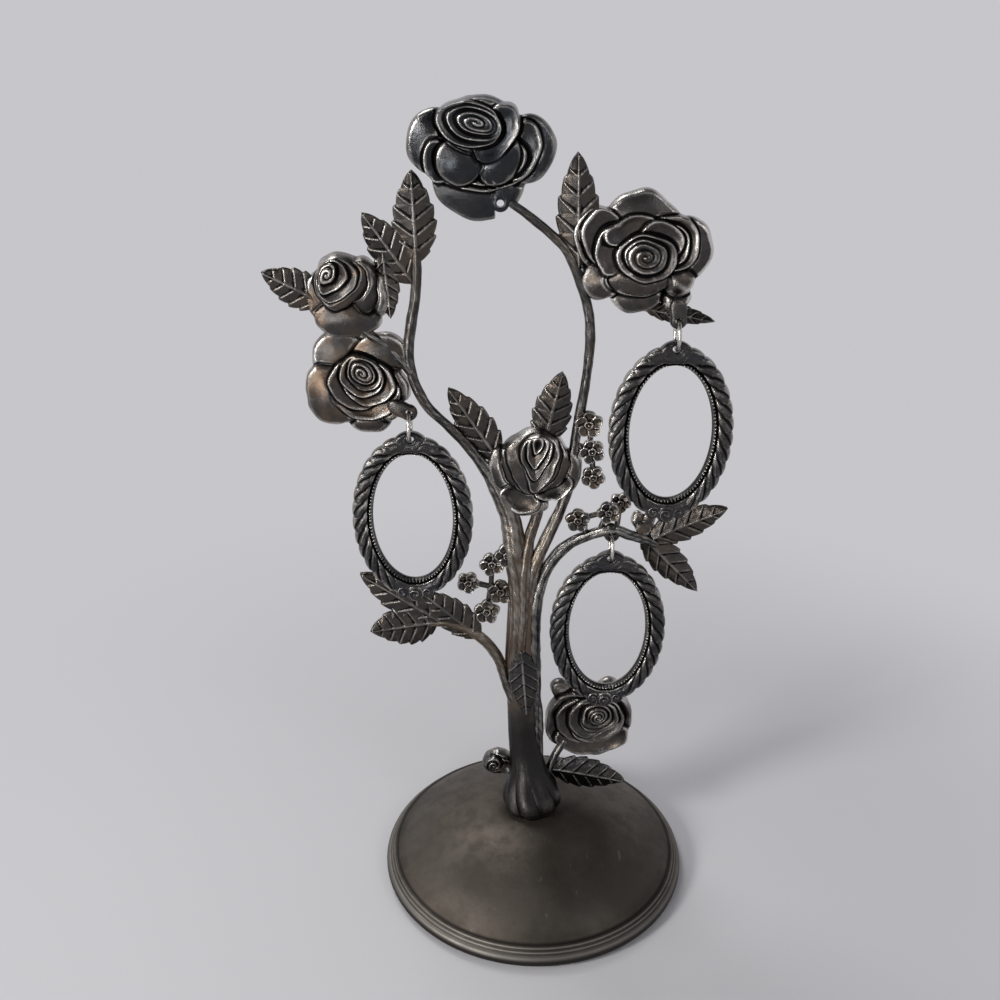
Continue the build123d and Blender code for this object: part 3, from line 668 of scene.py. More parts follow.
@dataclass
class Rose(Piece):
    """A rose: petals laid over each other in relief, a smooth calyx behind, and maybe a lug."""

    name: str
    middle: Triple
    radius: float
    depth: float
    petals: tuple[Petal, ...]
    finish: str = "tree_metal"
    calyx_depth: float = 2.4 * MM
    spacing: float = 0.24 * MM
    rim: float = 0.9 * MM
    keep_clear: Triple | None = None
    lug: Lug | None = None
    waver: float = 0.02
    seed: int = 1

    def drawn(self, across: Array, up: Array) -> tuple[Array, Array]:
        """Places shifted a little, so that no curve is a true ellipse.

        Args:
            across: shares to the right.
            up: shares upward.

        Returns:
            The shifted places.
        """
        phase = np.random.default_rng(self.seed).uniform(0, TURN, 6)
        shift = np.sin(5.3 * up + phase[0]) + 0.6 * np.sin(8.9 * up + 3.7 * across + phase[1])
        rise = np.sin(4.9 * across + phase[2]) + 0.6 * np.sin(9.3 * across - 3.1 * up + phase[3])
        shift = shift + 0.35 * np.sin(17.0 * up - 6.0 * across + phase[4])
        rise = rise + 0.35 * np.sin(16.0 * across + 7.0 * up + phase[5])
        return across + self.waver * shift, up + self.waver * rise

    def outline(self, angles: Array) -> Array:
        """How far the petals reach at each angle, clear of the lug's hole.

        Args:
            angles: from the right, towards the top.

        Returns:
            The reach as a share of the half width.
        """
        reach = np.linspace(0.0, 1.4, 420)
        across, up = np.cos(angles)[:, None] * reach, np.sin(angles)[:, None] * reach
        drawn = self.drawn(across, up)
        covered = np.zeros(across.shape, bool)
        for petal in self.petals:
            covered |= np.hypot(*petal.local(*drawn)) <= 1.0
        edge = reach[covered.shape[1] - 1 - np.argmax(covered[:, ::-1], axis=1)]
        if self.keep_clear is not None:
            hole_across, hole_up, hole_share = self.keep_clear
            near = np.hypot(across - hole_across, up - hole_up) < hole_share
            edge = np.minimum(edge, np.where(near.any(axis=1), reach[np.argmax(near, axis=1)], 9.0))
        return evened(edge, 4)

    def front(self, across: Array, up: Array) -> Array:
        """Height of the front in metres.

        Args:
            across: shares to the right.
            up: shares upward.

        Returns:
            The heights, never under 0.
        """
        across, up = self.drawn(across, up)
        height = np.full(across.shape, 0.05 * self.depth)
        for petal in self.petals:
            wide, tall = petal.local(across, up)
            over = petal.height(wide, tall) * self.depth
            edge = (1.0 - np.hypot(wide, tall)) * min(petal.wide, petal.tall) * self.radius / MM
            roll = ridge(edge - 0.95, 0.75) - 0.9 * ridge(edge + 0.1, 0.5)
            over = over + petal.lip * MM * (0.8 * ridge(edge - 0.3, 0.26) + 1.2 * roll)
            cover = smooth_step(edge / 0.5 + 0.5)
            beside = ridge(edge + 0.38, 0.34) * (1.0 - cover)
            height = (height - petal.crease * MM * beside) * (1.0 - cover) + over * cover
        return np.maximum(height, 0.0)

    def points(self, across: Array, up: Array, forward: Array) -> Array:
        """Points on the relief: shares to the right and up, and metres towards the front."""
        x, y, z = place(*self.middle)
        return spots(x + across * self.radius, y - forward, z + up * self.radius)

    def add_to(self, sheet: Sheet) -> None:
        """Add the rose to a mesh.

        Args:
            sheet: the mesh that takes it.
        """
        angles = around(int(TURN * self.radius * 0.8 / self.spacing))
        edge = self.outline(angles)
        rows = []
        for share in np.linspace(0.0, 1.0, int(self.radius / self.spacing) + 1)[1:]:
            across, up = np.cos(angles) * edge * share, np.sin(angles) * edge * share
            from_rim = np.clip((1.0 - share) * edge * self.radius / self.rim, 0.0, 1.0)
            rounding = np.sqrt(1.0 - (1.0 - from_rim) ** 2)
            rows.append(self.points(across, up, self.front(across, up) * rounding))
        for share in (0.985, 0.95, 0.9, 0.82, 0.72, 0.6, 0.48, 0.36, 0.24, 0.12, 0.05):
            across, up = np.cos(angles) * edge * share, np.sin(angles) * edge * share
            out = np.hypot(across, up)
            bulge = smooth_step(1.25 - 1.6 * out)
            sink = -self.rim * min(1.0, (1.0 - share) / 0.05) * 0.9 - bulge * self.calyx_depth * 0.7
            sepal = 0.25 * MM * np.cos(5 * angles) * smooth_step(1.6 * out) * bulge
            rows.append(self.points(across, up, sink + sepal))
        zero = np.zeros(1)
        behind = self.points(zero, zero, -self.rim - self.calyx_depth * 0.7)
        sheet.add_grid(rows, self.points(zero, zero, self.front(zero, zero)), behind)
        if self.lug is not None:
            self.lug.add_to(sheet)


# Stems


def curve_through(stations: Array, spacing: float) -> Array:
    """An even, smooth run of stations.

    Args:
        stations: rows of x, y, z and size.
        spacing: distance between the new ones.

    Returns:
        The new rows.
    """
    padded = np.vstack([2 * stations[0] - stations[1], stations, 2 * stations[-1] - stations[-2]])
    run = []
    for index in range(1, len(padded) - 2):
        before, start, end, after = padded[index - 1 : index + 3]
        count = max(2, int(np.linalg.norm((end - start)[:3]) / spacing))
        share = np.linspace(0.0, 1.0, count, endpoint=False)[:, None]
        bent = (2 * before - 5 * start + 4 * end - after) * share**2
        bent = 2 * start + (end - before) * share + bent
        run.append(0.5 * (bent + (3 * start - before - 3 * end + after) * share**3))
    return np.vstack([*run, stations[-1]])


@dataclass
class Stem(Piece):
    """A cast stem along a route, a little uneven, with faint grooves that run with it."""

    name: str
    stations: tuple[tuple[float, float, float, float], ...]
    width: float
    depth_share: float = 0.9
    seed: int = 1
    finish: str = "stem_metal"
    lug: Lug | None = None
    grooves: int = 3
    groove_depth: float = 0.07
    spacing: float = 0.4 * MM

    def add_to(self, sheet: Sheet) -> None:
        """Add the stem, with its lug, to a mesh.

        Args:
            sheet: the mesh that takes it.
        """
        stations = [[*place(*spot), size * self.width / 2] for *spot, size in self.stations]
        run = curve_through(np.array(stations), self.spacing)
        centres, sizes = run[:, :3], run[:, 3]
        ahead = np.gradient(centres, axis=0)
        ahead /= np.linalg.norm(ahead, axis=1)[:, None] + 1e-12
        back = np.array([0.0, 1.0, 0.0]) - ahead * ahead[:, 1:2]
        back /= np.linalg.norm(back, axis=1)[:, None]
        side = np.cross(ahead, back)
        angles = around(60)
        phase = np.random.default_rng(self.seed).uniform(0, TURN, 6)
        rows = []
        for index, at in enumerate(np.arange(len(run)) * self.spacing / MM):
            drift = 0.5 * math.sin(at * 0.05 + phase[0]) + 0.2 * math.sin(at * 0.17 + phase[1])
            wave = np.cos(self.grooves * (angles + drift))
            fine = np.cos((4 * self.grooves + 3) * (angles - drift) + 1.5 * math.sin(at * 0.11 + phase[2]))
            knots = 0.035 * math.sin(at * 0.31 + phase[3]) + 0.02 * math.sin(at * 0.83 + phase[4])
            swell = 1.0 + knots + self.groove_depth * (np.abs(wave) ** 0.7 - 0.7) + 0.005 * fine
            swell = swell + 0.014 * np.sin(3 * angles + at * 0.9 + phase[5])
            swell = swell + 0.01 * np.sin(5 * angles - at * 1.7 + phase[2])
            radius = sizes[index] * swell
            aside = side[index] * (np.cos(angles) * radius)[:, None]
            behind = back[index] * (np.sin(angles) * radius * self.depth_share)[:, None]
            rows.append(centres[index] + aside + behind)
        nose = sizes[-1] * 0.35
        sheet.add_grid(rows, centres[0] - ahead[0] * nose * 0.5, centres[-1] + ahead[-1] * nose)
        if self.lug is not None:
            self.lug.add_to(sheet)


@dataclass
class Trunk(Piece):
    """The trunk: barked strands that part at its crown, over a foot of gathered roots.

    The sections of its foot and its shaft have their place in shares of the rise, and their
    width and depth in shares of the foot's width or of the shaft's width and depth.
    """

    name: str = "trunk"
    finish: str = "trunk_metal"
    foot_width: float = 19.5 * MM
    width: float = 12.0 * MM
    depth: float = 6.4 * MM
    foot: tuple[tuple[float, ...], ...] = (
        (-0.002, -0.002, -0.001, 0.94, 0.96),
        (-0.003, -0.001, 0.012, 1.06, 1.03),
        (-0.003, 0.0, 0.028, 1.03, 0.98),
        (-0.005, 0.002, 0.045, 0.86, 0.78),
        (-0.008, 0.004, 0.062, 0.68, 0.58),
    )
    shaft: tuple[tuple[float, ...], ...] = (
        (-0.0115, 0.006, 0.088, 0.98, 1.3),
        (-0.0175, 0.008, 0.125, 0.84, 1.12),
        (-0.020, 0.009, 0.185, 0.8, 1.06),
        (-0.019, 0.009, 0.255, 0.98, 1.06),
        (-0.019, 0.008, 0.328, 0.84, 0.98),
        (-0.0165, 0.007, 0.375, 0.86, 0.9),
        (-0.0176, 0.006, 0.405, 0.6, 0.6),
    )
    roots: int = 8
    strands: tuple[tuple[float, float, float, float], ...] = (
        (-0.55, 0.5, 0.34, 0.55),
        (-0.05, 0.0, 0.24, 0.4),
        (0.42, 0.75, 0.26, 0.5),
    )

    def run(self) -> Array:
        """Even, smoothed rows of x, y, z, half width and half depth, from the seat to the crown.

        Returns:
            The rows.
        """
        sections = []
        for group, width, depth in (
            (self.foot, self.foot_width, self.foot_width),
            (self.shaft, self.width, self.depth),
        ):
            for *spot, wide, deep in group:
                sections.append([*place(*spot), width * wide / 2, depth * deep / 2])
        sections = np.array(sections)
        levels = np.arange(sections[0, 2], sections[-1, 2], 0.35 * MM)
        run = np.stack([np.interp(levels, sections[:, 2], sections[:, k]) for k in range(5)], axis=1)
        for column in (0, 1, 3, 4):
            run[:, column] = evened(run[:, column], 10, "edge")
        return run

    def bark(self, angles: Array, up: float, phases: Array) -> Array:
        """Fine bark ridges that run up the trunk and waver.

        Args:
            angles: round the trunk.
            up: share of the rise.
            phases: chance starts of the waves.

        Returns:
            Heights in millimetres.
        """
        bend = 0.5 * math.sin(17 * up + phases[0]) + 0.25 * math.sin(43 * up + phases[1])
        height = np.zeros(len(angles))
        for count, size in ((7, 0.2), (13, 0.12), (29, 0.035)):
            wave = np.cos(count * angles + 2.4 * bend + 1.6 * np.sin(2 * angles + 21 * up + count))
            strength = 0.55 + 0.45 * np.sin(3 * angles + 31 * up + phases[2] + count)
            height = height + size * strength * (np.abs(wave) ** 0.7 - 0.6)
        return height

    def add_to(self, sheet: Sheet) -> None:
        """Add the trunk to a mesh.

        Args:
            sheet: the mesh that takes it.
        """
        run = self.run()
        angles = around(260)
        aside = np.cos(angles)
        phases = np.random.default_rng(7).uniform(0, TURN, 6)
        rows = []
        for x, y, z, wide, deep in run:
            up = (z - BASE_HEIGHT) / RISE
            foot = smooth_step((0.066 - up) / 0.036)
            upper = smooth_step((up - 0.2) / 0.1)
            folds = np.abs(np.cos(self.roots / 2 * (angles + 0.25 * math.sin(30 * up) + 2.0 * up)))
            folds = folds * (0.8 + 0.2 * np.sin(2 * angles + 1.1))
            grown = 1.0 + foot * 0.12 * (folds**0.8 - 0.6)
            neck = 1.0 - 0.1 * ridge(up, 0.006)
            lift = (0.35 + 0.65 * upper) * (1.0 - foot) * self.bark(angles, up, phases) * MM
            for low, high, broad, proud in self.strands:
                middle = low + (high - low) * max(0.0, (up - 0.25) / 0.17) * 0.35
                lift = lift + proud * MM * ridge(aside - middle, broad) * np.abs(np.sin(angles)) * upper
            out = x + aside * (wide * grown * neck + lift * 0.4)
            rows.append(spots(out, y + np.sin(angles) * (deep * grown * neck + lift), z))
        crown = rows[-1]
        middle = np.array([*run[-1, :2], 0.0])
        for lift, share in ((0.5, 0.93), (1.0, 0.8), (1.4, 0.6), (1.65, 0.35)):
            shrunk = middle + (crown - middle) * np.array([share, share, 1.0])
            rows.append(shrunk + np.array([0.0, 0.0, lift * MM]))
        sheet.add_grid(rows, run[0, :3], run[-1, :3] + np.array([0.0, 0.0, 1.75 * MM]))


# Leaves and blossoms


@dataclass
class Leaf(Piece):
    """A serrated leaf with a midrib and lapped panels between its side veins."""

    name: str
    foot: Pair
    tip: Pair
    width_share: float
    outward: float = 0.0105
    curl: float = 1.2 * MM
    bend: float = 0.0
    teeth: int = 6
    thickness: float = 1.1 * MM
    crown: float = 0.9 * MM
    relief: float = 1.0
    finish: str = "leaf_metal"

    def half_width(self, along: Array) -> Array:
        """Half width as a share of the largest, with its teeth.

        Args:
            along: shares of the leaf's length.

        Returns:
            The shares.
        """
        body = np.sin(math.pi * np.clip(along, 0.0, 1.0) ** 0.8) ** 0.75
        tooth = (along * self.teeth + 0.1) % 1.0
        notch = np.where(tooth < 0.84, (tooth / 0.84) ** 0.7, (1.0 - tooth) / 0.16)
        return np.maximum(body * (0.86 + 0.15 * notch), 0.0)

    def add_to(self, sheet: Sheet) -> None:
        """Add the leaf to a mesh.

        Args:
            sheet: the mesh that takes it.
        """
        foot, tip = (np.array(place(x, self.outward, z)) for x, z in (self.foot, self.tip))
        length = float(np.linalg.norm(tip - foot))
        ahead = (tip - foot) / length
        front = np.array([0.0, -1.0, 0.0])
        side = np.cross(ahead, front)
        half = length * self.width_share / 2
        along = np.linspace(0.0, 1.0, int(length / (0.2 * MM)))
        aside = np.sin(np.linspace(-1.0, 1.0, 49) * math.pi / 2)
        s, q = np.meshgrid(along, aside, indexing="ij")
        width = np.maximum(self.half_width(s) * half, 0.9 * MM * (1.0 - s) + 0.1 * MM)
        away = np.abs(q)
        phase = s * self.teeth + 0.1 - 1.15 * away * width / half
        part = phase - np.floor(phase)
        panel = np.where(part < 0.84, part / 0.84, (1.0 - part) / 0.16)
        inner = smooth_step(5 * (1 - away)) * smooth_step(7 * s) * smooth_step(5 * away)
        midrib = ridge(q * width / MM, 0.3 + 0.35 * (1.0 - s)) * smooth_step(14 * (1 - s))
        relief = 0.4 * (panel - 0.5) * inner + 0.08 * ridge(part - 0.84, 0.07) * inner + 0.4 * midrib
        relief = relief + 0.05 * np.sin(900 * s * length + 5 * q) * np.sin(11 * q + 400 * s * length) * inner
        relief = relief * self.relief * MM + 0.12 * MM * ridge(away - 0.94, 0.04)
        fold = self.crown * (1.0 - away**1.6)
        rim = np.sqrt(np.clip(1.0 - away**10, 0.0, 1.0))
        top = self.thickness * 0.5 * rim + (fold + relief) * rim
        under = -self.thickness * 0.5 * rim + (fold * 0.9 + relief * 0.5) * rim
        lift = self.thickness * 0.5 + (self.curl * (s**2 - 0.3) + self.bend * q * s)
        middle = foot + ahead * (s[..., None] * length) + side * (q * width)[..., None]
        upper = middle + front * (top + lift)[..., None]
        lower = middle + front * (under + lift)[..., None]
        rows = np.concatenate([upper, lower[:, ::-1][:, 1:-1]], axis=1)
        sheet.add_grid(rows, rows[0].mean(axis=0), rows[-1].mean(axis=0))


BUD = tuple(
    Petal(*shape, DOME, swell, 0.14, crease=0.2)
    for shape, swell in (
        ((-0.36, 0.2, 0.5, 0.75, 14, 0.4), 0.35),
        ((0.36, 0.2, 0.5, 0.75, -14, 0.4), 0.35),
        ((0.0, -0.35, 0.6, 0.5, 0, 0.6), 0.3),
    )
)


@dataclass
class Spray(Piece):
    """Small five-petalled blossoms on stalks, or a bud with petals of its own."""

    name: str
    blossoms: tuple[Triple, ...]
    stalks: tuple[tuple[Triple, Triple], ...]
    radius: float = 4.6 * MM
    bud: tuple[Petal, ...] = ()
    depth: float = 2.2 * MM
    stalk_width: float = 1.9 * MM
    finish: str = "blossom_metal"

    def petals(self, turn: float) -> tuple[Petal, ...]:
        """Five dished petals round a ringed eye.

        Args:
            turn: angle of the first one, in degrees.

        Returns:
            The petals and the eye.
        """
        made = []
        for index in range(5):
            angle = math.radians(turn + 72 * index)
            across, up = 0.58 * math.cos(angle), 0.58 * math.sin(angle)
            degrees = math.degrees(angle) - 90
            made.append(Petal(across, up, 0.44, 0.42, degrees, 0.6, CUP, 0.34, 0.12, crease=0.2))
        made.append(Petal(0.0, 0.0, 0.28, 0.28, 0, 0.72, CUP, 0.3, 0.1, crease=0.2))
        made.append(Petal(0.0, 0.0, 0.12, 0.12, 0, 0.72, DOME, 0.25, 0.0, crease=0.1))
        return tuple(made)

    def add_to(self, sheet: Sheet) -> None:
        """Add the stalks and the blossoms to a mesh.

        Args:
            sheet: the mesh that takes them.
        """
        for index, (start, end) in enumerate(self.stalks):
            stations = ((*start, 1.0), (*end, 0.9))
            Stem(self.name, stations, self.stalk_width, 1.0, seed=20 + index).add_to(sheet)
        for index, blossom in enumerate(self.blossoms):
            Rose(
                self.name, blossom, self.radius * (1.0 - 0.06 * (index % 3)), self.depth,
                self.bud or self.petals(90 + 23 * index), calyx_depth=0.6 * MM, spacing=0.17 * MM,
                rim=0.5 * MM, seed=30 + index,
            ).add_to(sheet)


# Frames and rings


@dataclass
class OvalFrame(Piece):
    """An oval frame: a beaded inner step, a rope of slanted lobes, a boss and a medallion."""

    name: str
    hole: Triple
    aperture_width: float = 25.4 * MM
    aperture_height: float = 43.4 * MM
    band: float = 6.6 * MM
    thickness: float = 3.0 * MM
    hole_radius: float = 1.2 * MM
    hole_rise: float = 5.4 * MM
    boss_radius: float = 6.0 * MM
    boss_rise: float = 7.7 * MM
    medallion_radius: float = 3.2 * MM
    ring_drop: float = 8.54 * MM
    lobes: int = 14
    lean: float = -1.6
    beads: int = 100
    bead_zone: float = 0.24
    steps: int = 1100
    finish: str = "frame_metal"
    hangs = True

    def __post_init__(self) -> None:
        """Work out the opening's middle and even steps round the oval."""
        x, y, z = self.hole
        self.half = self.thickness / 2
        self.centre = np.array([x, y, z - self.ring_drop - self.aperture_height / 2 - self.hole_rise])
        fine = np.linspace(0.0, TURN, 4001)
        wide, tall = self.aperture_width + self.band, self.aperture_height + self.band
        pieces = np.hypot(np.diff(np.cos(fine)) * wide, np.diff(np.sin(fine)) * tall)
        run = np.concatenate([[0.0], np.cumsum(pieces)]) / pieces.sum()
        self.turns = np.linspace(0.0, 1.0, self.steps, endpoint=False)
        self.angles = np.interp(self.turns, run, fine)
        self.from_top = np.abs((self.turns + 0.25) % 1.0 - 0.5) * 2

    def points(self, x: Array, z: Array, forward: Array | float) -> Array:
        """Points on the frame: metres to the right and up from the opening's middle, and forward."""
        return spots(self.centre[0] + x, self.centre[1] - forward, self.centre[2] + z)

    def lobe(self, part: float) -> Array:
        """How far each step lies up the side of a rope lobe, from 0 in a groove to 1 on top."""
        winding = self.from_top * self.lobes + self.lean * (part - 0.5)
        return 1.0 - np.abs(2 * (winding - np.floor(winding)) - 1.0) ** 2.6

    def band_height(self, share: float) -> Array:
        """Height of the band's front above its middle plane.

        Args:
            share: place from the opening's edge, 0, to the outer edge, 1.

        Returns:
            Heights in metres, one per step.
        """
        zone = self.bead_zone
        bead = np.abs(np.sin(self.beads * math.pi * self.turns)) ** 0.8
        beaded = 0.05 + 0.62 * ridge(share - 0.13, 0.07) * (0.1 + 0.9 * bead)
        beaded = beaded - 0.55 * smooth_step((0.07 - share) / 0.07)
        part = min(1.0, max(0.0, (share - zone) / (1.0 - zone)))
        arch = math.sqrt(max(0.0, 1.0 - (2 * part - 1.0) ** 2))
        rope = 0.2 + arch**0.8 * (0.36 + 0.48 * self.lobe(part))
        plain = smooth_step((self.from_top - 0.88) / 0.03) + smooth_step((0.12 - self.from_top) / 0.03)
        ribbon = 0.25 + 0.62 * arch**0.7 + 0.06 * math.cos(15 * part)
        outer = rope * (1.0 - plain) + ribbon * plain
        mixed = smooth_step((share - zone + 0.03) / 0.05)
        height = beaded * (1.0 - mixed) + outer * mixed - 0.3 * ridge(share - zone, 0.035)
        return self.half * (0.1 + height)

    def add_band(self, sheet: Sheet) -> None:
        """Add the oval band.

        Args:
            sheet: the mesh that takes it.
        """
        inner_wide, inner_tall = self.aperture_width / 2, self.aperture_height / 2
        cos, sin = np.cos(self.angles), np.sin(self.angles)
        x0, z0 = cos * inner_wide, sin * inner_tall
        x1, z1 = cos * (inner_wide + self.band), sin * (inner_tall + self.band)
        limit = inner_tall + self.hole_rise - self.hole_radius - 0.5 * MM
        near_top = (np.abs(x1) < self.boss_radius * 0.62) & (z1 > 0)
        trim = np.where(near_top, np.clip((limit - z0) / (z1 - z0 + 1e-9), 0.2, 1.0), 1.0)
        scallop = evened(trim, 9) * (1.0 + 0.075 * (self.lobe(1.0) - 1.0))
        levels = []
        for share in np.concatenate([np.linspace(0.0, 0.3, 17), np.linspace(0.3, 1.0, 27)[1:]]):
            soft = math.sqrt(max(0.0, 1.0 - max(0.0, (share - 0.95) / 0.05) ** 2))
            levels.append((share, self.band_height(share) * soft - self.half * 0.35 * (1.0 - soft)))
        for share, sunk in ((1.0, -0.85), (0.97, -1.0), (0.7, -1.0), (0.3, -1.0), (0.04, -1.0), (0.0, -0.85)):
            levels.append((share, sunk * self.half))
        rows = []
        for share, level in levels:
            mixed = share * scallop
            rows.append(self.points(x0 + (x1 - x0) * mixed, z0 + (z1 - z0) * mixed, level))
        sheet.add_grid([*rows, rows[0]])

    def add_boss(self, sheet: Sheet) -> None:
        """Add the rounded boss round the hanging hole.

        Args:
            sheet: the mesh that takes it.
        """
        angles = around(200)
        hole_z = self.aperture_height / 2 + self.hole_rise
        down = hole_z - (self.aperture_height / 2 + self.boss_rise - self.boss_radius)
        sin, cos = np.sin(angles), np.cos(angles)
        reach = -down * sin + np.sqrt(self.boss_radius**2 - (down * cos) ** 2)
        reach = evened(np.where(sin < -0.25, np.minimum(reach, 4.6 * MM), reach), 4)
        flutes = np.cos(9 * (angles - math.pi / 2))
        levels = []
        for share in np.linspace(0.0, 1.0, 30):
            hump = 0.35 * math.sin(math.pi * min(1.0, max(0.0, (share - 0.1) / 0.95)))
            height = 0.62 + 0.2 * ridge(share - 0.12, 0.12) + hump * (1.0 + 0.12 * flutes * share)
            edge = math.sqrt(max(0.0, 1.0 - max(0.0, (share - 0.7) / 0.3) ** 2))
            levels.append((share, self.half * height * edge * min(1.0, 0.5 + share * 12)))
        for share, sunk in ((1.0, -0.8), (0.95, -0.98), (0.5, -0.98), (0.06, -0.98), (0.0, -0.8), (0.0, 0.0)):
            levels.append((share, sunk * self.half))
        rows = []
        for share, level in levels:
            radius = self.hole_radius + (reach - self.hole_radius) * share
            rows.append(self.points(cos * radius, hole_z + sin * radius, level))
        sheet.add_grid([*rows, rows[0]])

    def add_medallion(self, sheet: Sheet) -> None:
        """Add the medallion: a low button with a wound ring, between two scrolls.

        Args:
            sheet: the mesh that takes it.
        """
        middle = -(self.aperture_height / 2 + self.band - self.medallion_radius / 2)
        angles = around(110)
        for offset, share_of_radius, top in ((0.0, 1.0, 1.42), (-1.25, 0.8, 1.18), (1.25, 0.8, 1.18)):
            radius = self.medallion_radius * share_of_radius
            x, z = offset * self.medallion_radius, middle + abs(offset) * 0.55 * MM
            cos, sin = np.cos(angles) * radius, np.sin(angles) * radius
            rows = []
            for share in np.linspace(0.0, 1.0, 27)[1:]:
                winding = share * 2.2 - angles / TURN * (1 if offset >= 0 else -1)
                part = winding - np.floor(winding)
                fold = np.where(part < 0.8, part / 0.8, (1.0 - part) / 0.2)
                edge = math.sqrt(max(0.0, 1.0 - share**6))
                height = self.half * (top - 0.4 * share**2 + 0.26 * (fold - 0.5)) * edge
                rows.append(self.points(x + cos * share, z + sin * share, height))
            for share, sunk in ((1.0, -0.75), (0.9, -0.92), (0.4, -0.92)):
                rows.append(self.points(x + cos * share, z + sin * share, self.half * sunk))
            start = self.centre + np.array([x, -self.half * top, z])
            sheet.add_grid(rows, start, self.centre + np.array([x, self.half * 0.92, z]))

    def add_to(self, sheet: Sheet) -> None:
        """Add the whole frame to a mesh.

        Args:
            sheet: the mesh that takes it.
        """
        self.add_band(sheet)
        self.add_boss(sheet)
        self.add_medallion(sheet)


@dataclass
class JumpRing(Piece):
    """A jump ring of round wire, edge on to the front, with a mark where the wire's ends meet."""

    name: str
    hole: Triple
    diameter: float = 8.8 * MM
    wire: float = 1.2 * MM
    lift: float = 0.13 * MM
    finish: str = "ring_wire"
    hangs = True

    def add_to(self, sheet: Sheet) -> None:
        """Add the ring to a mesh.

        Args:
            sheet: the mesh that takes it.
        """
        x, y, z = self.hole
        z -= self.diameter / 2 - self.lift
        section = around(28)
        rows = []
        for angle in around(160):
            radius = self.wire / 2 * (1.0 - 0.16 * ridge(angle - 0.9, 0.025))
            out = self.diameter / 2 + radius * np.cos(section)
            sides = y + out * math.sin(angle), z + out * math.cos(angle)
            rows.append(spots(x + radius * np.sin(section), *sides))
        sheet.add_grid([*rows, rows[0]])


# Base


@dataclass
class DomedBase(Piece):
    """The shallow domed base with a flared rim and two fine beads, and what is under it."""

    name: str = "base_dome"
    finish: str = "satin_pewter"
    diameter: float = 108.0 * MM
    wall: float = 2.0 * MM
    felt: float = 1.0 * MM
    band_height: float = 3.9 * MM
    band_bulge: float = 1.3 * MM
    bead_height: float = 1.05 * MM
    bead_bulge: float = 0.45 * MM
    rim_step: float = 0.9 * MM
    dome_step: float = 0.8 * MM
    crown: float = 3.4 * MM
    seat: float = 17.0 * MM
    screw_hole: float = 5.5 * MM

    def arc(self, start: Pair, end: Pair, rise: float, count: int) -> list[Pair]:
        """Points on a flat arc.

        Args:
            start: first place, as radius and height.
            end: last place.
            rise: how far the arc's middle stands off the straight line, to its left.
            count: how many points.

        Returns:
            The points without the last one.
        """
        points = []
        dx, dz = end[0] - start[0], end[1] - start[1]
        for step in range(count):
            share = step / count
            off = 4 * rise * share * (1 - share) / math.hypot(dx, dz)
            points.append((start[0] + dx * share - dz * off, start[1] + dz * share + dx * off))
        return points

    def bead(self, radius: float, low: float, height: float, bulge: float) -> list[Pair]:
        """Rounded band that stands out from a radius.

        Args:
            radius: where it starts to stand out.
            low: height of its lower edge.
            height: how high it is.
            bulge: how far it stands out.

        Returns:
            Its points from below to above.
        """
        angles = [math.pi * (step / 14 - 0.5) for step in range(15)]
        return [(radius + math.cos(a) * bulge, low + height * (0.5 + math.sin(a) / 2)) for a in angles]

    def profile(self) -> list[Pair]:
        """The shell's section, from its underside round the rim to the seat and back inside.

        Returns:
            Its points, as radius and height.
        """
        rim = self.diameter / 2 - self.band_bulge
        low, high = rim - self.rim_step, rim - 2 * self.rim_step
        dome = high - self.dome_step
        low_foot = self.felt + self.band_height
        high_foot = low_foot + self.bead_height
        top = high_foot + self.bead_height
        seat, bore = self.seat / 2, self.screw_hole / 2
        inside, under = dome - self.wall, BASE_HEIGHT - self.wall
        points = [(inside, self.felt)]
        points += self.bead(rim, self.felt, self.band_height, self.band_bulge)
        points += self.bead(low, low_foot, self.bead_height, self.bead_bulge)
        points += self.bead(high, high_foot, self.bead_height, self.bead_bulge)
        points += self.arc((dome, top), (seat, BASE_HEIGHT), -self.crown, 90)
        points += [(seat, BASE_HEIGHT), (seat * 0.6, BASE_HEIGHT), (bore, BASE_HEIGHT)]
        points += [(bore, under), (seat, under)]
        points += self.arc((seat, under), (inside, top - self.wall), self.crown, 30)[1:]
        return [*points, (inside, top - self.wall)]

    def add_to(self, sheet: Sheet) -> None:
        """Add the dome, a little uneven, to a mesh.

        Args:
            sheet: the mesh that takes it.
        """
        angles = around(360)
        phases = np.random.default_rng(3).uniform(0, TURN, 4)
        rows = []
        for radius, height in self.profile():
            uneven = 0.05 * MM * np.sin(3 * angles + phases[0] + radius * 90)
            uneven = uneven + 0.03 * MM * np.sin(7 * angles + phases[1] - radius * 210)
            uneven = uneven * smooth_step((radius - 9 * MM) / (6 * MM))
            uneven = uneven * smooth_step((height - 7 * MM) / (3 * MM))
            rows.append(spots(np.cos(angles) * radius, np.sin(angles) * radius, height + uneven))
        sheet.add_grid([*rows, rows[0]])

    def dress_fittings(self, finishes: Finishes) -> None:
        """Give the felt, the screw and its washer, carried over from the CAD, their finishes.

        Args:
            finishes: the finishes to dress them with.
        """
        fittings = {"base_felt": "felt", "foot_screw": "screw_plate", "foot_washer": "screw_plate"}
        for node, finish in fittings.items():
            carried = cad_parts[node]
            carried.data.materials.clear()
            carried.data.materials.append(finishes.made[finish][0])
            log.info("%s: carried over, %s", node, finish)


# Tree: places are shares of its rise, and a stem's fourth values are shares of its width

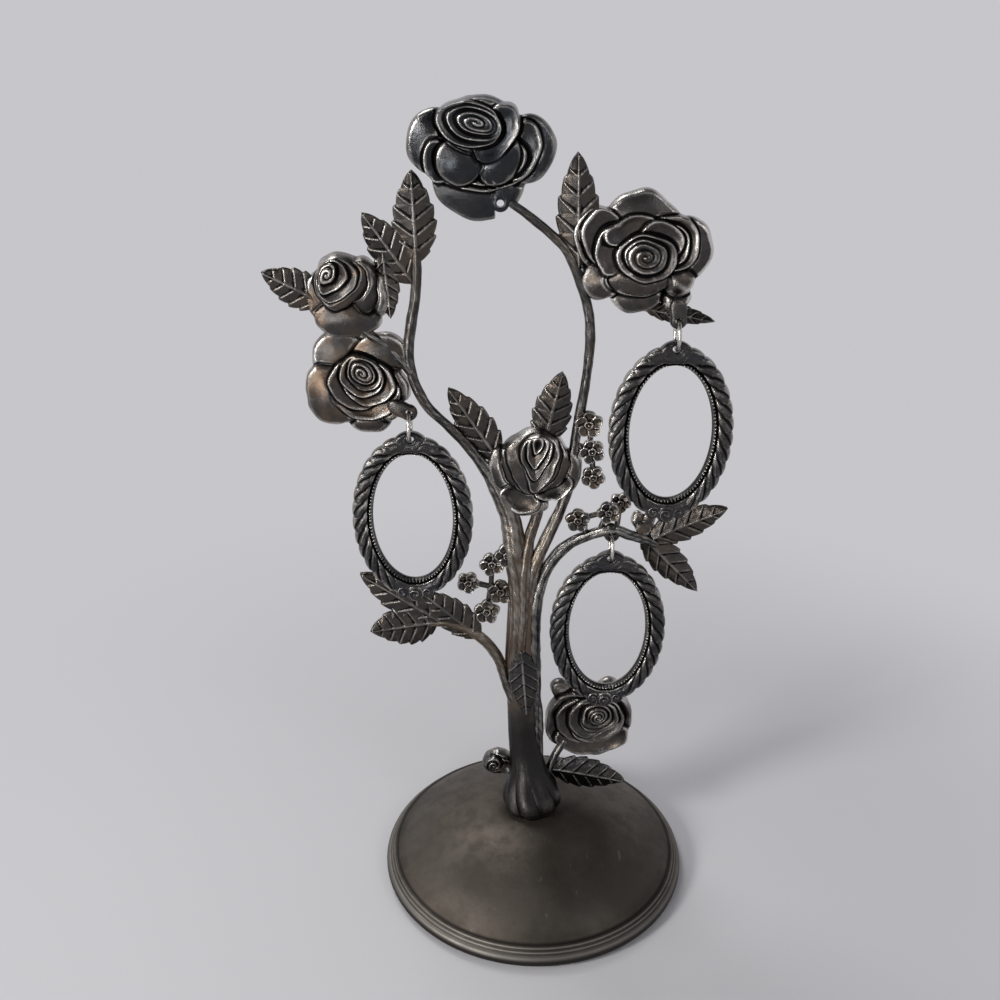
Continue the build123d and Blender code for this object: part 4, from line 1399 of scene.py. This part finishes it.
HOLES = {
    "left": tuple(place(-0.1635, -0.014, 0.6245)),
    "right_lower": tuple(place(0.0966, -0.014, 0.4557)),
    "right_upper": tuple(place(0.165, -0.014, 0.742)),
    "top": tuple(place(-0.0495, 0.006, 0.877)),
}
ARCH_WIDTH, BRANCH_WIDTH, TWIG_WIDTH, SIDE_WIDTH = 4.3 * MM, 4.1 * MM, 3.0 * MM, 3.6 * MM

STEMS = (
    Stem("side_stem", (
        (0.012, 0.004, 0.046, 0.9), (0.008, 0.007, 0.07, 1.0), (0.006, 0.008, 0.1, 1.0),
        (0.005, 0.008, 0.146, 1.0), (0.002, 0.008, 0.185, 0.9), (-0.006, 0.008, 0.215, 0.8),
    ), SIDE_WIDTH, 1.0, 2, "dark_metal"),
    Stem("left_arch_stem", (
        (-0.029, 0.004, 0.2, 0.35), (-0.030, -0.001, 0.25, 0.75), (-0.028, -0.003, 0.31, 0.95),
        (-0.028, -0.002, 0.37, 1.25), (-0.031, 0.003, 0.43, 1.65), (-0.0365, 0.006, 0.47, 1.6),
        (-0.0495, 0.006, 0.503, 1.3), (-0.068, 0.006, 0.538, 0.95), (-0.092, 0.006, 0.573, 0.78),
        (-0.119, 0.006, 0.602, 0.72), (-0.142, 0.006, 0.626, 0.72), (-0.158, 0.006, 0.66, 0.72),
        (-0.163, 0.006, 0.697, 0.74), (-0.159, 0.006, 0.731, 0.76), (-0.153, 0.006, 0.764, 0.76),
        (-0.150, 0.006, 0.798, 0.7), (-0.150, 0.006, 0.825, 0.5),
    ), ARCH_WIDTH, seed=3),
    Stem("centre_stem", (
        (-0.019, 0.0, 0.21, 0.4), (-0.021, -0.004, 0.27, 0.8), (-0.0195, -0.005, 0.34, 0.95),
        (-0.0175, -0.002, 0.39, 1.05), (-0.011, 0.004, 0.44, 0.92), (0.000, 0.006, 0.481, 0.8),
        (0.001, 0.006, 0.53, 0.7),
    ), ARCH_WIDTH, seed=4),
    Stem("right_arch_stem", (
        (-0.009, 0.003, 0.215, 0.4), (-0.012, 0.0015, 0.28, 0.8), (-0.011, 0.002, 0.34, 0.95),
        (-0.005, 0.003, 0.395, 1.1), (0.012, 0.005, 0.44, 0.95), (0.031, 0.006, 0.486, 0.84),
        (0.042, 0.006, 0.525, 0.8), (0.045, 0.006, 0.566, 0.76), (0.050, 0.006, 0.607, 0.72),
        (0.056, 0.006, 0.647, 0.7), (0.060, 0.006, 0.686, 0.7), (0.061, 0.006, 0.72, 0.7),
        (0.057, 0.006, 0.752, 0.7), (0.044, 0.006, 0.792, 0.7), (0.029, 0.006, 0.822, 0.66),
        (0.007, 0.006, 0.844, 0.62), (-0.021, 0.006, 0.866, 0.58), (-0.040, 0.006, 0.879, 0.55),
    ), ARCH_WIDTH, seed=5),
    Stem("left_low_branch", (
        (-0.024, 0.006, 0.13, 0.5), (-0.024, 0.005, 0.165, 1.1), (-0.040, 0.008, 0.213, 1.0),
        (-0.052, 0.008, 0.25, 0.95), (-0.070, 0.008, 0.278, 0.9), (-0.096, 0.008, 0.299, 0.85),
        (-0.124, 0.008, 0.309, 0.8), (-0.148, 0.008, 0.308, 0.6),
    ), BRANCH_WIDTH, seed=6),
    Stem("left_rose_stem", (
        (-0.160, 0.006, 0.67, 1.0), (-0.185, 0.006, 0.7, 1.0), (-0.215, 0.006, 0.722, 1.0),
        (-0.240, 0.006, 0.735, 0.9),
    ), TWIG_WIDTH, 1.0, 7),
    Stem("foot_rose_stem", (
        (0.008, 0.006, 0.02, 1.0), (0.020, 0.012, 0.05, 1.0), (0.032, 0.018, 0.078, 1.0),
        (0.046, 0.024, 0.1, 1.0),
    ), TWIG_WIDTH, 1.0, 8),
    Stem("right_low_branch", (
        (0.000, 0.006, 0.13, 0.5), (0.000, 0.004, 0.2, 1.0), (-0.003, 0.004, 0.27, 1.15),
        (-0.002, 0.004, 0.335, 1.15), (0.005, 0.005, 0.37, 1.05), (0.017, 0.005, 0.402, 1.0),
        (0.038, 0.0, 0.431, 0.95), (0.064, -0.008, 0.45, 0.9), (0.0966, -0.014, 0.462, 0.8),
        (0.122, -0.006, 0.45, 0.85), (0.143, 0.002, 0.44, 0.8), (0.160, 0.006, 0.43, 0.6),
    ), BRANCH_WIDTH, 0.9, 9, "dark_metal", Lug(HOLES["right_lower"], math.radians(100), 4 * MM)),
)

ROSES = (
    Rose("rose_top", (-0.0745, 0.013, 0.93), 20.6 * MM, 10.0 * MM, (
        Petal(0.0, -0.37, 0.64, 0.51, 0, 0.16, DOME, 0.2, 0.12),
        Petal(-0.6, 0.17, 0.41, 0.44, 8, 0.16, DOME, 0.3, 0.1),
        Petal(0.67, 0.07, 0.39, 0.46, -8, 0.16, DOME, 0.3, 0.1),
        Petal(0.02, 0.37, 0.54, 0.43, 0, 0.34, DOME, 0.26, 0.1),
        Petal(0.03, -0.04, 0.77, 0.41, 0, 0.34, CUP, 0.2, 0.2),
        Petal(-0.56, -0.07, 0.19, 0.29, 10, 0.42, CUP, 0.14, 0.14),
        Petal(0.57, 0.07, 0.26, 0.39, -15, 0.4, CUP, 0.14, 0.14),
        Petal(0.05, -0.02, 0.62, 0.34, 0, 0.44, CUP, 0.14, 0.14),
        Petal(0.27, -0.02, 0.3, 0.35, -15, 0.54, DOME, 0.2, 0.1),
        Petal(-0.26, -0.06, 0.32, 0.33, 10, 0.54, DOME, 0.2, 0.1, taper=-0.15),
        Petal(0.0, 0.41, 0.54, 0.36, -6, 0.62, DOME, 0.24, 0.12),
        Petal(0.24, 0.33, 0.25, 0.43, -34, 0.7, CUP, 0.14, 0.18),
        Petal(-0.13, 0.44, 0.44, 0.3, -8, 0.76, CUP, 0.12, 0.2),
        Petal(-0.07, 0.45, 0.36, 0.22, -12, 0.78, CUP, 0.1, 0.14),
        Petal(-0.04, 0.46, 0.26, 0.14, -14, 0.79, SWIRL, 0.12, 0.0, turns=2.2, fold=0.06),
    ), "top_rose_metal", keep_clear=(0.297, -0.63, 0.1), waver=0.011,
        lug=Lug(HOLES["top"], math.radians(75), 7 * MM, spread=2.0)),
    Rose("rose_right", (0.1215, 0.013, 0.818), 20.8 * MM, 9.0 * MM, (
        Petal(-0.08, -0.63, 0.37, 0.25, 0, 0.16, DOME, 0.22, 0.2),
        Petal(0.49, -0.62, 0.22, 0.17, 10, 0.14, DOME, 0.2, 0.2),
        Petal(0.64, 0.08, 0.36, 0.44, 10, 0.2, DOME, 0.24, 0.2),
        Petal(-0.71, 0.19, 0.32, 0.48, 10, 0.18, CUP, 0.16, 0.2),
        Petal(0.0, 0.56, 0.54, 0.3, -12, 0.3, DOME, 0.2, 0.14, lean=-0.08, taper=0.3),
        Petal(-0.64, 0.22, 0.33, 0.45, 15, 0.3, CUP, 0.14, 0.16),
        Petal(-0.55, -0.34, 0.34, 0.3, 30, 0.3, DOME, 0.3, 0.1),
        Petal(0.5, -0.37, 0.26, 0.2, 25, 0.32, DOME, 0.24, 0.1),
        Petal(-0.58, 0.25, 0.29, 0.41, 15, 0.4, CUP, 0.14, 0.16),
        Petal(0.39, 0.17, 0.37, 0.4, 20, 0.42, CUP, 0.18, 0.18),
        Petal(0.33, 0.15, 0.29, 0.32, 20, 0.48, CUP, 0.16, 0.12),
        Petal(-0.08, -0.33, 0.43, 0.27, 0, 0.46, DOME, 0.24, 0.12),
        Petal(-0.46, 0.08, 0.22, 0.35, 0, 0.52, CUP, 0.14, 0.16),
        Petal(-0.2, 0.33, 0.37, 0.2, 10, 0.54, CUP, 0.14, 0.16),
        Petal(0.22, 0.2, 0.32, 0.28, -20, 0.56, CUP, 0.14, 0.14),
        Petal(0.04, -0.04, 0.43, 0.33, 0, 0.64, CUP, 0.16, 0.2),
        Petal(0.03, -0.02, 0.3, 0.24, 0, 0.7, SWIRL, 0.16, 0.0, turns=2.8, fold=0.08),
    ), "right_rose_metal", lug=Lug(HOLES["right_upper"], math.radians(95), 7 * MM), seed=2),
    Rose("rose_left_upper", (-0.2315, 0.013, 0.762), 12.8 * MM, 8.5 * MM, (
        Petal(-0.11, 0.08, 0.94, 0.94, 0, 0.2, DOME, 0.26, 0.16),
        Petal(-0.1, -0.45, 0.8, 0.48, 0, 0.24, DOME, 0.26, 0.2),
        Petal(0.68, 0.17, 0.24, 0.56, 5, 0.32, DOME, 0.28, 0.16),
        Petal(0.32, 0.38, 0.36, 0.64, 5, 0.46, DOME, 0.4, 0.1),
        Petal(-0.21, 0.42, 0.61, 0.64, -20, 0.52, DOME, 0.2, 0.12, taper=-0.3),
        Petal(-0.29, 0.5, 0.46, 0.52, -22, 0.64, CUP, 0.14, 0.14, taper=-0.3),
        Petal(-0.37, 0.58, 0.32, 0.4, -26, 0.7, CUP, 0.14, 0.12, taper=-0.3),
        Petal(-0.46, 0.68, 0.19, 0.25, -28, 0.74, SWIRL, 0.14, 0.0, turns=1.8, fold=0.1),
    ), "left_rose_metal", spacing=0.2 * MM, seed=3),
    Rose("rose_left_lower", (-0.225, 0.013, 0.657), 16.8 * MM, 8.5 * MM, (
        Petal(0.14, -0.68, 0.42, 0.32, 0, 0.14, DOME, 0.24, 0.2),
        Petal(-0.36, 0.5, 0.5, 0.46, 0, 0.22, DOME, 0.2, 0.16),
        Petal(0.39, 0.5, 0.5, 0.46, 0, 0.22, DOME, 0.2, 0.16),
        Petal(-0.52, -0.24, 0.5, 0.62, 24, 0.26, DOME, 0.3, 0.16),
        Petal(0.58, -0.23, 0.3, 0.5, -10, 0.26, DOME, 0.24, 0.18),
        Petal(0.08, -0.16, 0.62, 0.52, -4, 0.42, CUP, 0.2, 0.26),
        Petal(-0.06, 0.0, 0.5, 0.48, 8, 0.48, CUP, 0.16, 0.2),
        Petal(0.16, 0.06, 0.48, 0.44, 0, 0.55, CUP, 0.16, 0.22),
        Petal(0.06, 0.18, 0.4, 0.38, 6, 0.62, CUP, 0.14, 0.2),
        Petal(0.12, 0.24, 0.31, 0.3, 0, 0.67, CUP, 0.14, 0.18),
        Petal(0.1, 0.28, 0.22, 0.21, 0, 0.71, SWIRL, 0.16, 0.0, turns=2.4, fold=0.1),
    ), "left_rose_metal", keep_clear=(0.891, -0.472, 0.15), seed=4,
        lug=Lug(HOLES["left"], math.radians(155), 7 * MM)),
    Rose("rose_centre", (-0.003, 0.009, 0.539), 14.8 * MM, 8.5 * MM, (
        Petal(-0.66, -0.06, 0.38, 0.6, 14, 0.2, DOME, 0.3, 0.12),
        Petal(0.6, -0.1, 0.36, 0.6, -14, 0.2, DOME, 0.3, 0.12),
        Petal(-0.13, -0.83, 0.43, 0.24, 0, 0.22, DOME, 0.24, 0.14),
        Petal(-0.35, -0.61, 0.45, 0.32, -20, 0.32, CUP, 0.2, 0.28),
        Petal(0.35, -0.33, 0.42, 0.34, 25, 0.36, CUP, 0.3, 0.26),
        Petal(-0.03, 0.25, 0.72, 0.74, 0, 0.38, DOME, 0.38, 0.1),
        Petal(-0.06, 0.25, 0.56, 0.7, -3, 0.56, DOME, 0.24, 0.14, taper=-0.25),
        Petal(0.06, 0.24, 0.36, 0.66, -8, 0.68, CUP, 0.14, 0.18, taper=-0.45),
        Petal(-0.02, 0.4, 0.3, 0.5, -8, 0.74, CUP, 0.14, 0.16, taper=-0.5),
        Petal(0.0, 0.53, 0.2, 0.36, -9, 0.78, CUP, 0.14, 0.14, taper=-0.5),
        Petal(0.01, 0.68, 0.1, 0.19, -8, 0.8, CUP, 0.16, 0.1, taper=-0.4),
    ), "right_rose_metal", spacing=0.21 * MM, seed=5),
    Rose("rose_foot", (0.080, 0.032, 0.133), 16.0 * MM, 8.0 * MM, (
        Petal(-0.61, 0.78, 0.25, 0.27, 15, 0.16, DOME, 0.2, 0.18),
        Petal(0.41, 0.85, 0.27, 0.24, -10, 0.16, DOME, 0.2, 0.18),
        Petal(-0.02, -0.01, 0.97, 0.92, 0, 0.22, DOME, 0.34, 0.16),
        Petal(-0.42, 0.02, 0.54, 0.76, -12, 0.34, CUP, 0.16, 0.18),
        Petal(0.52, 0.06, 0.44, 0.68, 0, 0.34, CUP, 0.16, 0.18),
        Petal(0.1, -0.4, 0.84, 0.46, 3, 0.38, CUP, 0.2, 0.2),
        Petal(-0.2, 0.08, 0.56, 0.56, -10, 0.44, CUP, 0.16, 0.16),
        Petal(0.14, 0.1, 0.62, 0.6, 0, 0.5, CUP, 0.16, 0.2),
        Petal(-0.02, 0.16, 0.46, 0.48, 10, 0.56, CUP, 0.14, 0.16),
        Petal(0.2, 0.22, 0.42, 0.4, 0, 0.61, CUP, 0.14, 0.16),
        Petal(0.14, 0.26, 0.33, 0.32, 0, 0.66, CUP, 0.14, 0.18),
        Petal(0.14, 0.29, 0.23, 0.22, 0, 0.71, SWIRL, 0.16, 0.0, fold=0.1),
    ), seed=6),
    Rose("foot_bud", (-0.052, 0.024, 0.064), 6.2 * MM, 6.0 * MM, (
        Petal(0.0, 0.0, 0.95, 0.8, 0, 0.4, DOME, 0.26, 0.12),
        Petal(0.4, -0.1, 0.45, 0.5, 0, 0.56, CUP, 0.16, 0.2),
        Petal(-0.3, 0.1, 0.5, 0.5, 0, 0.62, SWIRL, 0.2, 0.0, turns=2.2, fold=0.12),
    ), "dark_metal", spacing=0.18 * MM, seed=7),
)

LEAVES = (
    Leaf("leaf_outer_left", (-0.1545, 0.782), (-0.212, 0.867), 0.5, curl=1.6 * MM, bend=0.5 * MM),
    Leaf("leaf_inner_left", (-0.150, 0.806), (-0.153, 0.915), 0.5, curl=1.0 * MM, bend=-0.5 * MM),
    Leaf("leaf_top_right", (0.0445, 0.8), (0.040, 0.935), 0.4, bend=0.6 * MM),
    Leaf("leaf_far_left", (-0.262, 0.757), (-0.336, 0.797), 0.6, curl=1.4 * MM),
    Leaf("leaf_centre_left", (-0.050, 0.55), (-0.115, 0.651), 0.42),
    Leaf("leaf_centre_right", (0.006, 0.57), (0.028, 0.672), 0.5),
    Leaf("leaf_under_right_rose", (0.127, 0.75), (0.213, 0.735), 0.3, 0.016),
    Leaf("leaf_branch_right_upper", (0.148, 0.437), (0.249, 0.486), 0.45, curl=1.4 * MM),
    Leaf("leaf_branch_right_lower", (0.140, 0.442), (0.218, 0.362), 0.42),
    Leaf("leaf_branch_left_far", (-0.136, 0.311), (-0.229, 0.299), 0.72, curl=1.4 * MM),
    Leaf("leaf_branch_left_mid", (-0.132, 0.312), (-0.239, 0.388), 0.45, curl=1.0 * MM),
    Leaf("leaf_branch_left_near", (-0.078, 0.285), (-0.156, 0.36), 0.48, curl=1.0 * MM),
    Leaf("leaf_foot", (0.024, 0.05), (0.136, 0.03), 0.5, 0.026, finish="dark_metal"),
    Leaf("leaf_left_rose", (-0.190, 0.82), (-0.183, 0.74), 0.42, curl=1.0 * MM),
    Leaf(
        "trunk_leaf", (-0.0205, 0.272), (-0.012, 0.165), 0.4, -0.0045, 0.2 * MM,
        thickness=0.9 * MM, relief=0.6, finish="dark_metal",
    ),
)

SPRAYS = (
    Spray("blossoms_centre", ((0.063, 0.003, 0.603), (0.068, 0.003, 0.566), (0.071, 0.003, 0.53)), (
        ((0.063, 0.006, 0.603), (0.068, 0.006, 0.566)),
        ((0.068, 0.006, 0.566), (0.071, 0.006, 0.53)),
        ((0.046, 0.006, 0.575), (0.068, 0.006, 0.566)),
    )),
    Spray("blossoms_right", ((0.052, -0.009, 0.474), (0.091, -0.013, 0.487), (0.108, 0.006, 0.4927)), (
        ((0.052, -0.007, 0.474), (0.091, -0.010, 0.487)),
        ((0.064, -0.007, 0.45), (0.058, -0.007, 0.474)),
        ((0.078, -0.0105, 0.454), (0.091, -0.011, 0.487)),
        ((0.104, -0.004, 0.462), (0.108, 0.006, 0.4927)),
    ), 4.2 * MM),
    Spray("blossom_branch_end", ((0.139, 0.002, 0.465),), (
        ((0.136, 0.003, 0.442), (0.139, 0.003, 0.465)),
    ), bud=BUD),
    Spray("blossoms_left", (
        (-0.049, 0.003, 0.361), (-0.061, 0.003, 0.403), (-0.093, 0.003, 0.375), (-0.068, 0.003, 0.33),
        (-0.0405, 0.0, 0.418),
    ), (
        ((-0.030, 0.006, 0.363), (-0.063, 0.006, 0.366)),
        ((-0.060, 0.006, 0.366), (-0.093, 0.006, 0.375)),
        ((-0.062, 0.006, 0.362), (-0.061, 0.006, 0.403)),
        ((-0.062, 0.006, 0.369), (-0.068, 0.006, 0.33)),
    )),
)


class RoseTree:
    """The whole casting: trunk, stems, roses, leaves and blossoms."""

    def build(self, finishes: Finishes) -> None:
        """Make every casting, dressed with the finishes."""
        for piece in (Trunk(), *STEMS, *ROSES, *LEAVES, *SPRAYS):
            piece.build(finishes)


# Studio


@dataclass(frozen=True)
class Studio:
    """A plain pale floor, soft lamps and the camera."""

    pale: Triple = (0.57, 0.565, 0.59)
    floor_radius: float = 6.0
    camera_place: Triple = (-0.0122, -0.320, 0.290)
    camera_pitch: float = 65.7
    lens: float = 39.6
    aim: Triple = (0.0, 0.0, 0.14)

    def seen(self, paint: Nodes) -> Socket:
        """A value that is 1 for rays of the camera and of glossy or clear surfaces.

        Args:
            paint: the nodes that need it.

        Returns:
            The socket.
        """
        path = paint.tree.nodes.new("ShaderNodeLightPath").outputs
        seen = paint.math("MAXIMUM", path["Is Camera Ray"], path["Is Glossy Ray"])
        return paint.math("MAXIMUM", seen, path["Is Transmission Ray"])

    def add_floor(self) -> None:
        """A round floor that takes the shadow near the object and keeps one pale tone far off."""
        angles = around(128)
        ring = spots(np.cos(angles), np.sin(angles), 0.0)
        sheet = Sheet()
        sheet.add_grid([ring * radius for radius in (0.02, 0.2, 0.6, 2.0, self.floor_radius)], np.zeros(3))
        floor = sheet.finish("floor")
        paint = Nodes(bpy.data.materials.new("floor_paper"))
        away = paint.node("VectorMath", {0: paint.coordinates["Object"]}, "Value", operation="LENGTH")
        share = paint.times(paint.ramp(away, 0.1, 0.34), self.seen(paint))
        paper = {"Base Color": (0.62, 0.615, 0.635), "Roughness": 0.75, "Specular IOR Level": 0.2}
        lit = paint.node("BsdfPrincipled", paper)
        plain = paint.node("Emission", {"Color": self.pale})
        paint.node("OutputMaterial", {"Surface": paint.node("MixShader", {0: share, 1: lit, 2: plain})})
        floor.data.materials.append(paint.owner)

    def add_world(self) -> None:
        """Soft light from all round, and the floor's pale tone wherever the world is seen."""
        paint = Nodes(bpy.data.worlds.new("studio"))
        light = paint.node("Background", {"Color": (0.5, 0.5, 0.52), "Strength": 0.6})
        up = paint.node("SeparateXYZ", {0: paint.coordinates["Generated"]}, "Z")
        shade = paint.mix(paint.ramp(up, 0.28, 0.8), self.pale, (0.1, 0.1, 0.105))
        shown = paint.node("Background", {"Color": shade})
        mixed = paint.node("MixShader", {0: self.seen(paint), 1: light, 2: shown})
        paint.node("OutputWorld", {"Surface": mixed})
        bpy.context.scene.world = paint.owner

    def add_lamp(self, name: str, at: Triple, size: float, power: float, colour: Triple) -> None:
        """A soft square lamp that faces the tree.

        Args:
            name: the lamp's name.
            at: where it stands.
            size: its width and height.
            power: watts.
            colour: its tint.
        """
        data = bpy.data.lights.new(name, "AREA")
        data.shape = "RECTANGLE"
        data.size = data.size_y = size
        data.energy = power
        data.color = colour
        lamp = bpy.data.objects.new(name, data)
        lamp.location = at
        lamp.rotation_euler = (Vector(self.aim) - Vector(at)).to_track_quat("-Z", "Y").to_euler()
        bpy.context.scene.collection.objects.link(lamp)

    def add_camera(self) -> None:
        """The camera, at the angle that the object is pictured from."""
        data = bpy.data.cameras.new("camera")
        data.lens = self.lens
        data.sensor_width = 36.0
        data.clip_start = 0.01
        camera = bpy.data.objects.new("camera", data)
        camera.location = self.camera_place
        camera.rotation_euler = (math.radians(self.camera_pitch), 0.0, 0.0)
        bpy.context.scene.collection.objects.link(camera)
        bpy.context.scene.camera = camera

    def build(self) -> None:
        """Make the studio."""
        self.add_floor()
        self.add_world()
        self.add_lamp("key", (-0.8, -0.55, 0.55), 0.22, 6.5, (1.0, 0.98, 0.96))
        self.add_lamp("fill", (0.7, -0.75, 0.7), 0.25, 1.0, (0.95, 0.97, 1.0))
        self.add_lamp("low", (-0.5, -0.85, 0.12), 0.2, 3.0, (1.0, 0.99, 0.97))
        self.add_lamp("top", (-0.35, 0.45, 0.95), 0.4, 3.0, (1.0, 1.0, 1.0))
        self.add_camera()
        bpy.context.scene.view_settings.view_transform = "Standard"


def main() -> None:
    """Build every sub-assembly, in order."""
    logging.basicConfig(level=logging.INFO, format="%(name)s: %(message)s")
    Studio().build()
    finishes = Finishes()
    base = DomedBase()
    base.build(finishes)
    base.dress_fittings(finishes)
    RoseTree().build(finishes)
    for side in ("left", "right_lower", "right_upper"):
        JumpRing(f"ring_{side}", HOLES[side]).build(finishes)
        OvalFrame(f"frame_{side}", HOLES[side]).build(finishes)


if __name__ == "__main__":
    main()
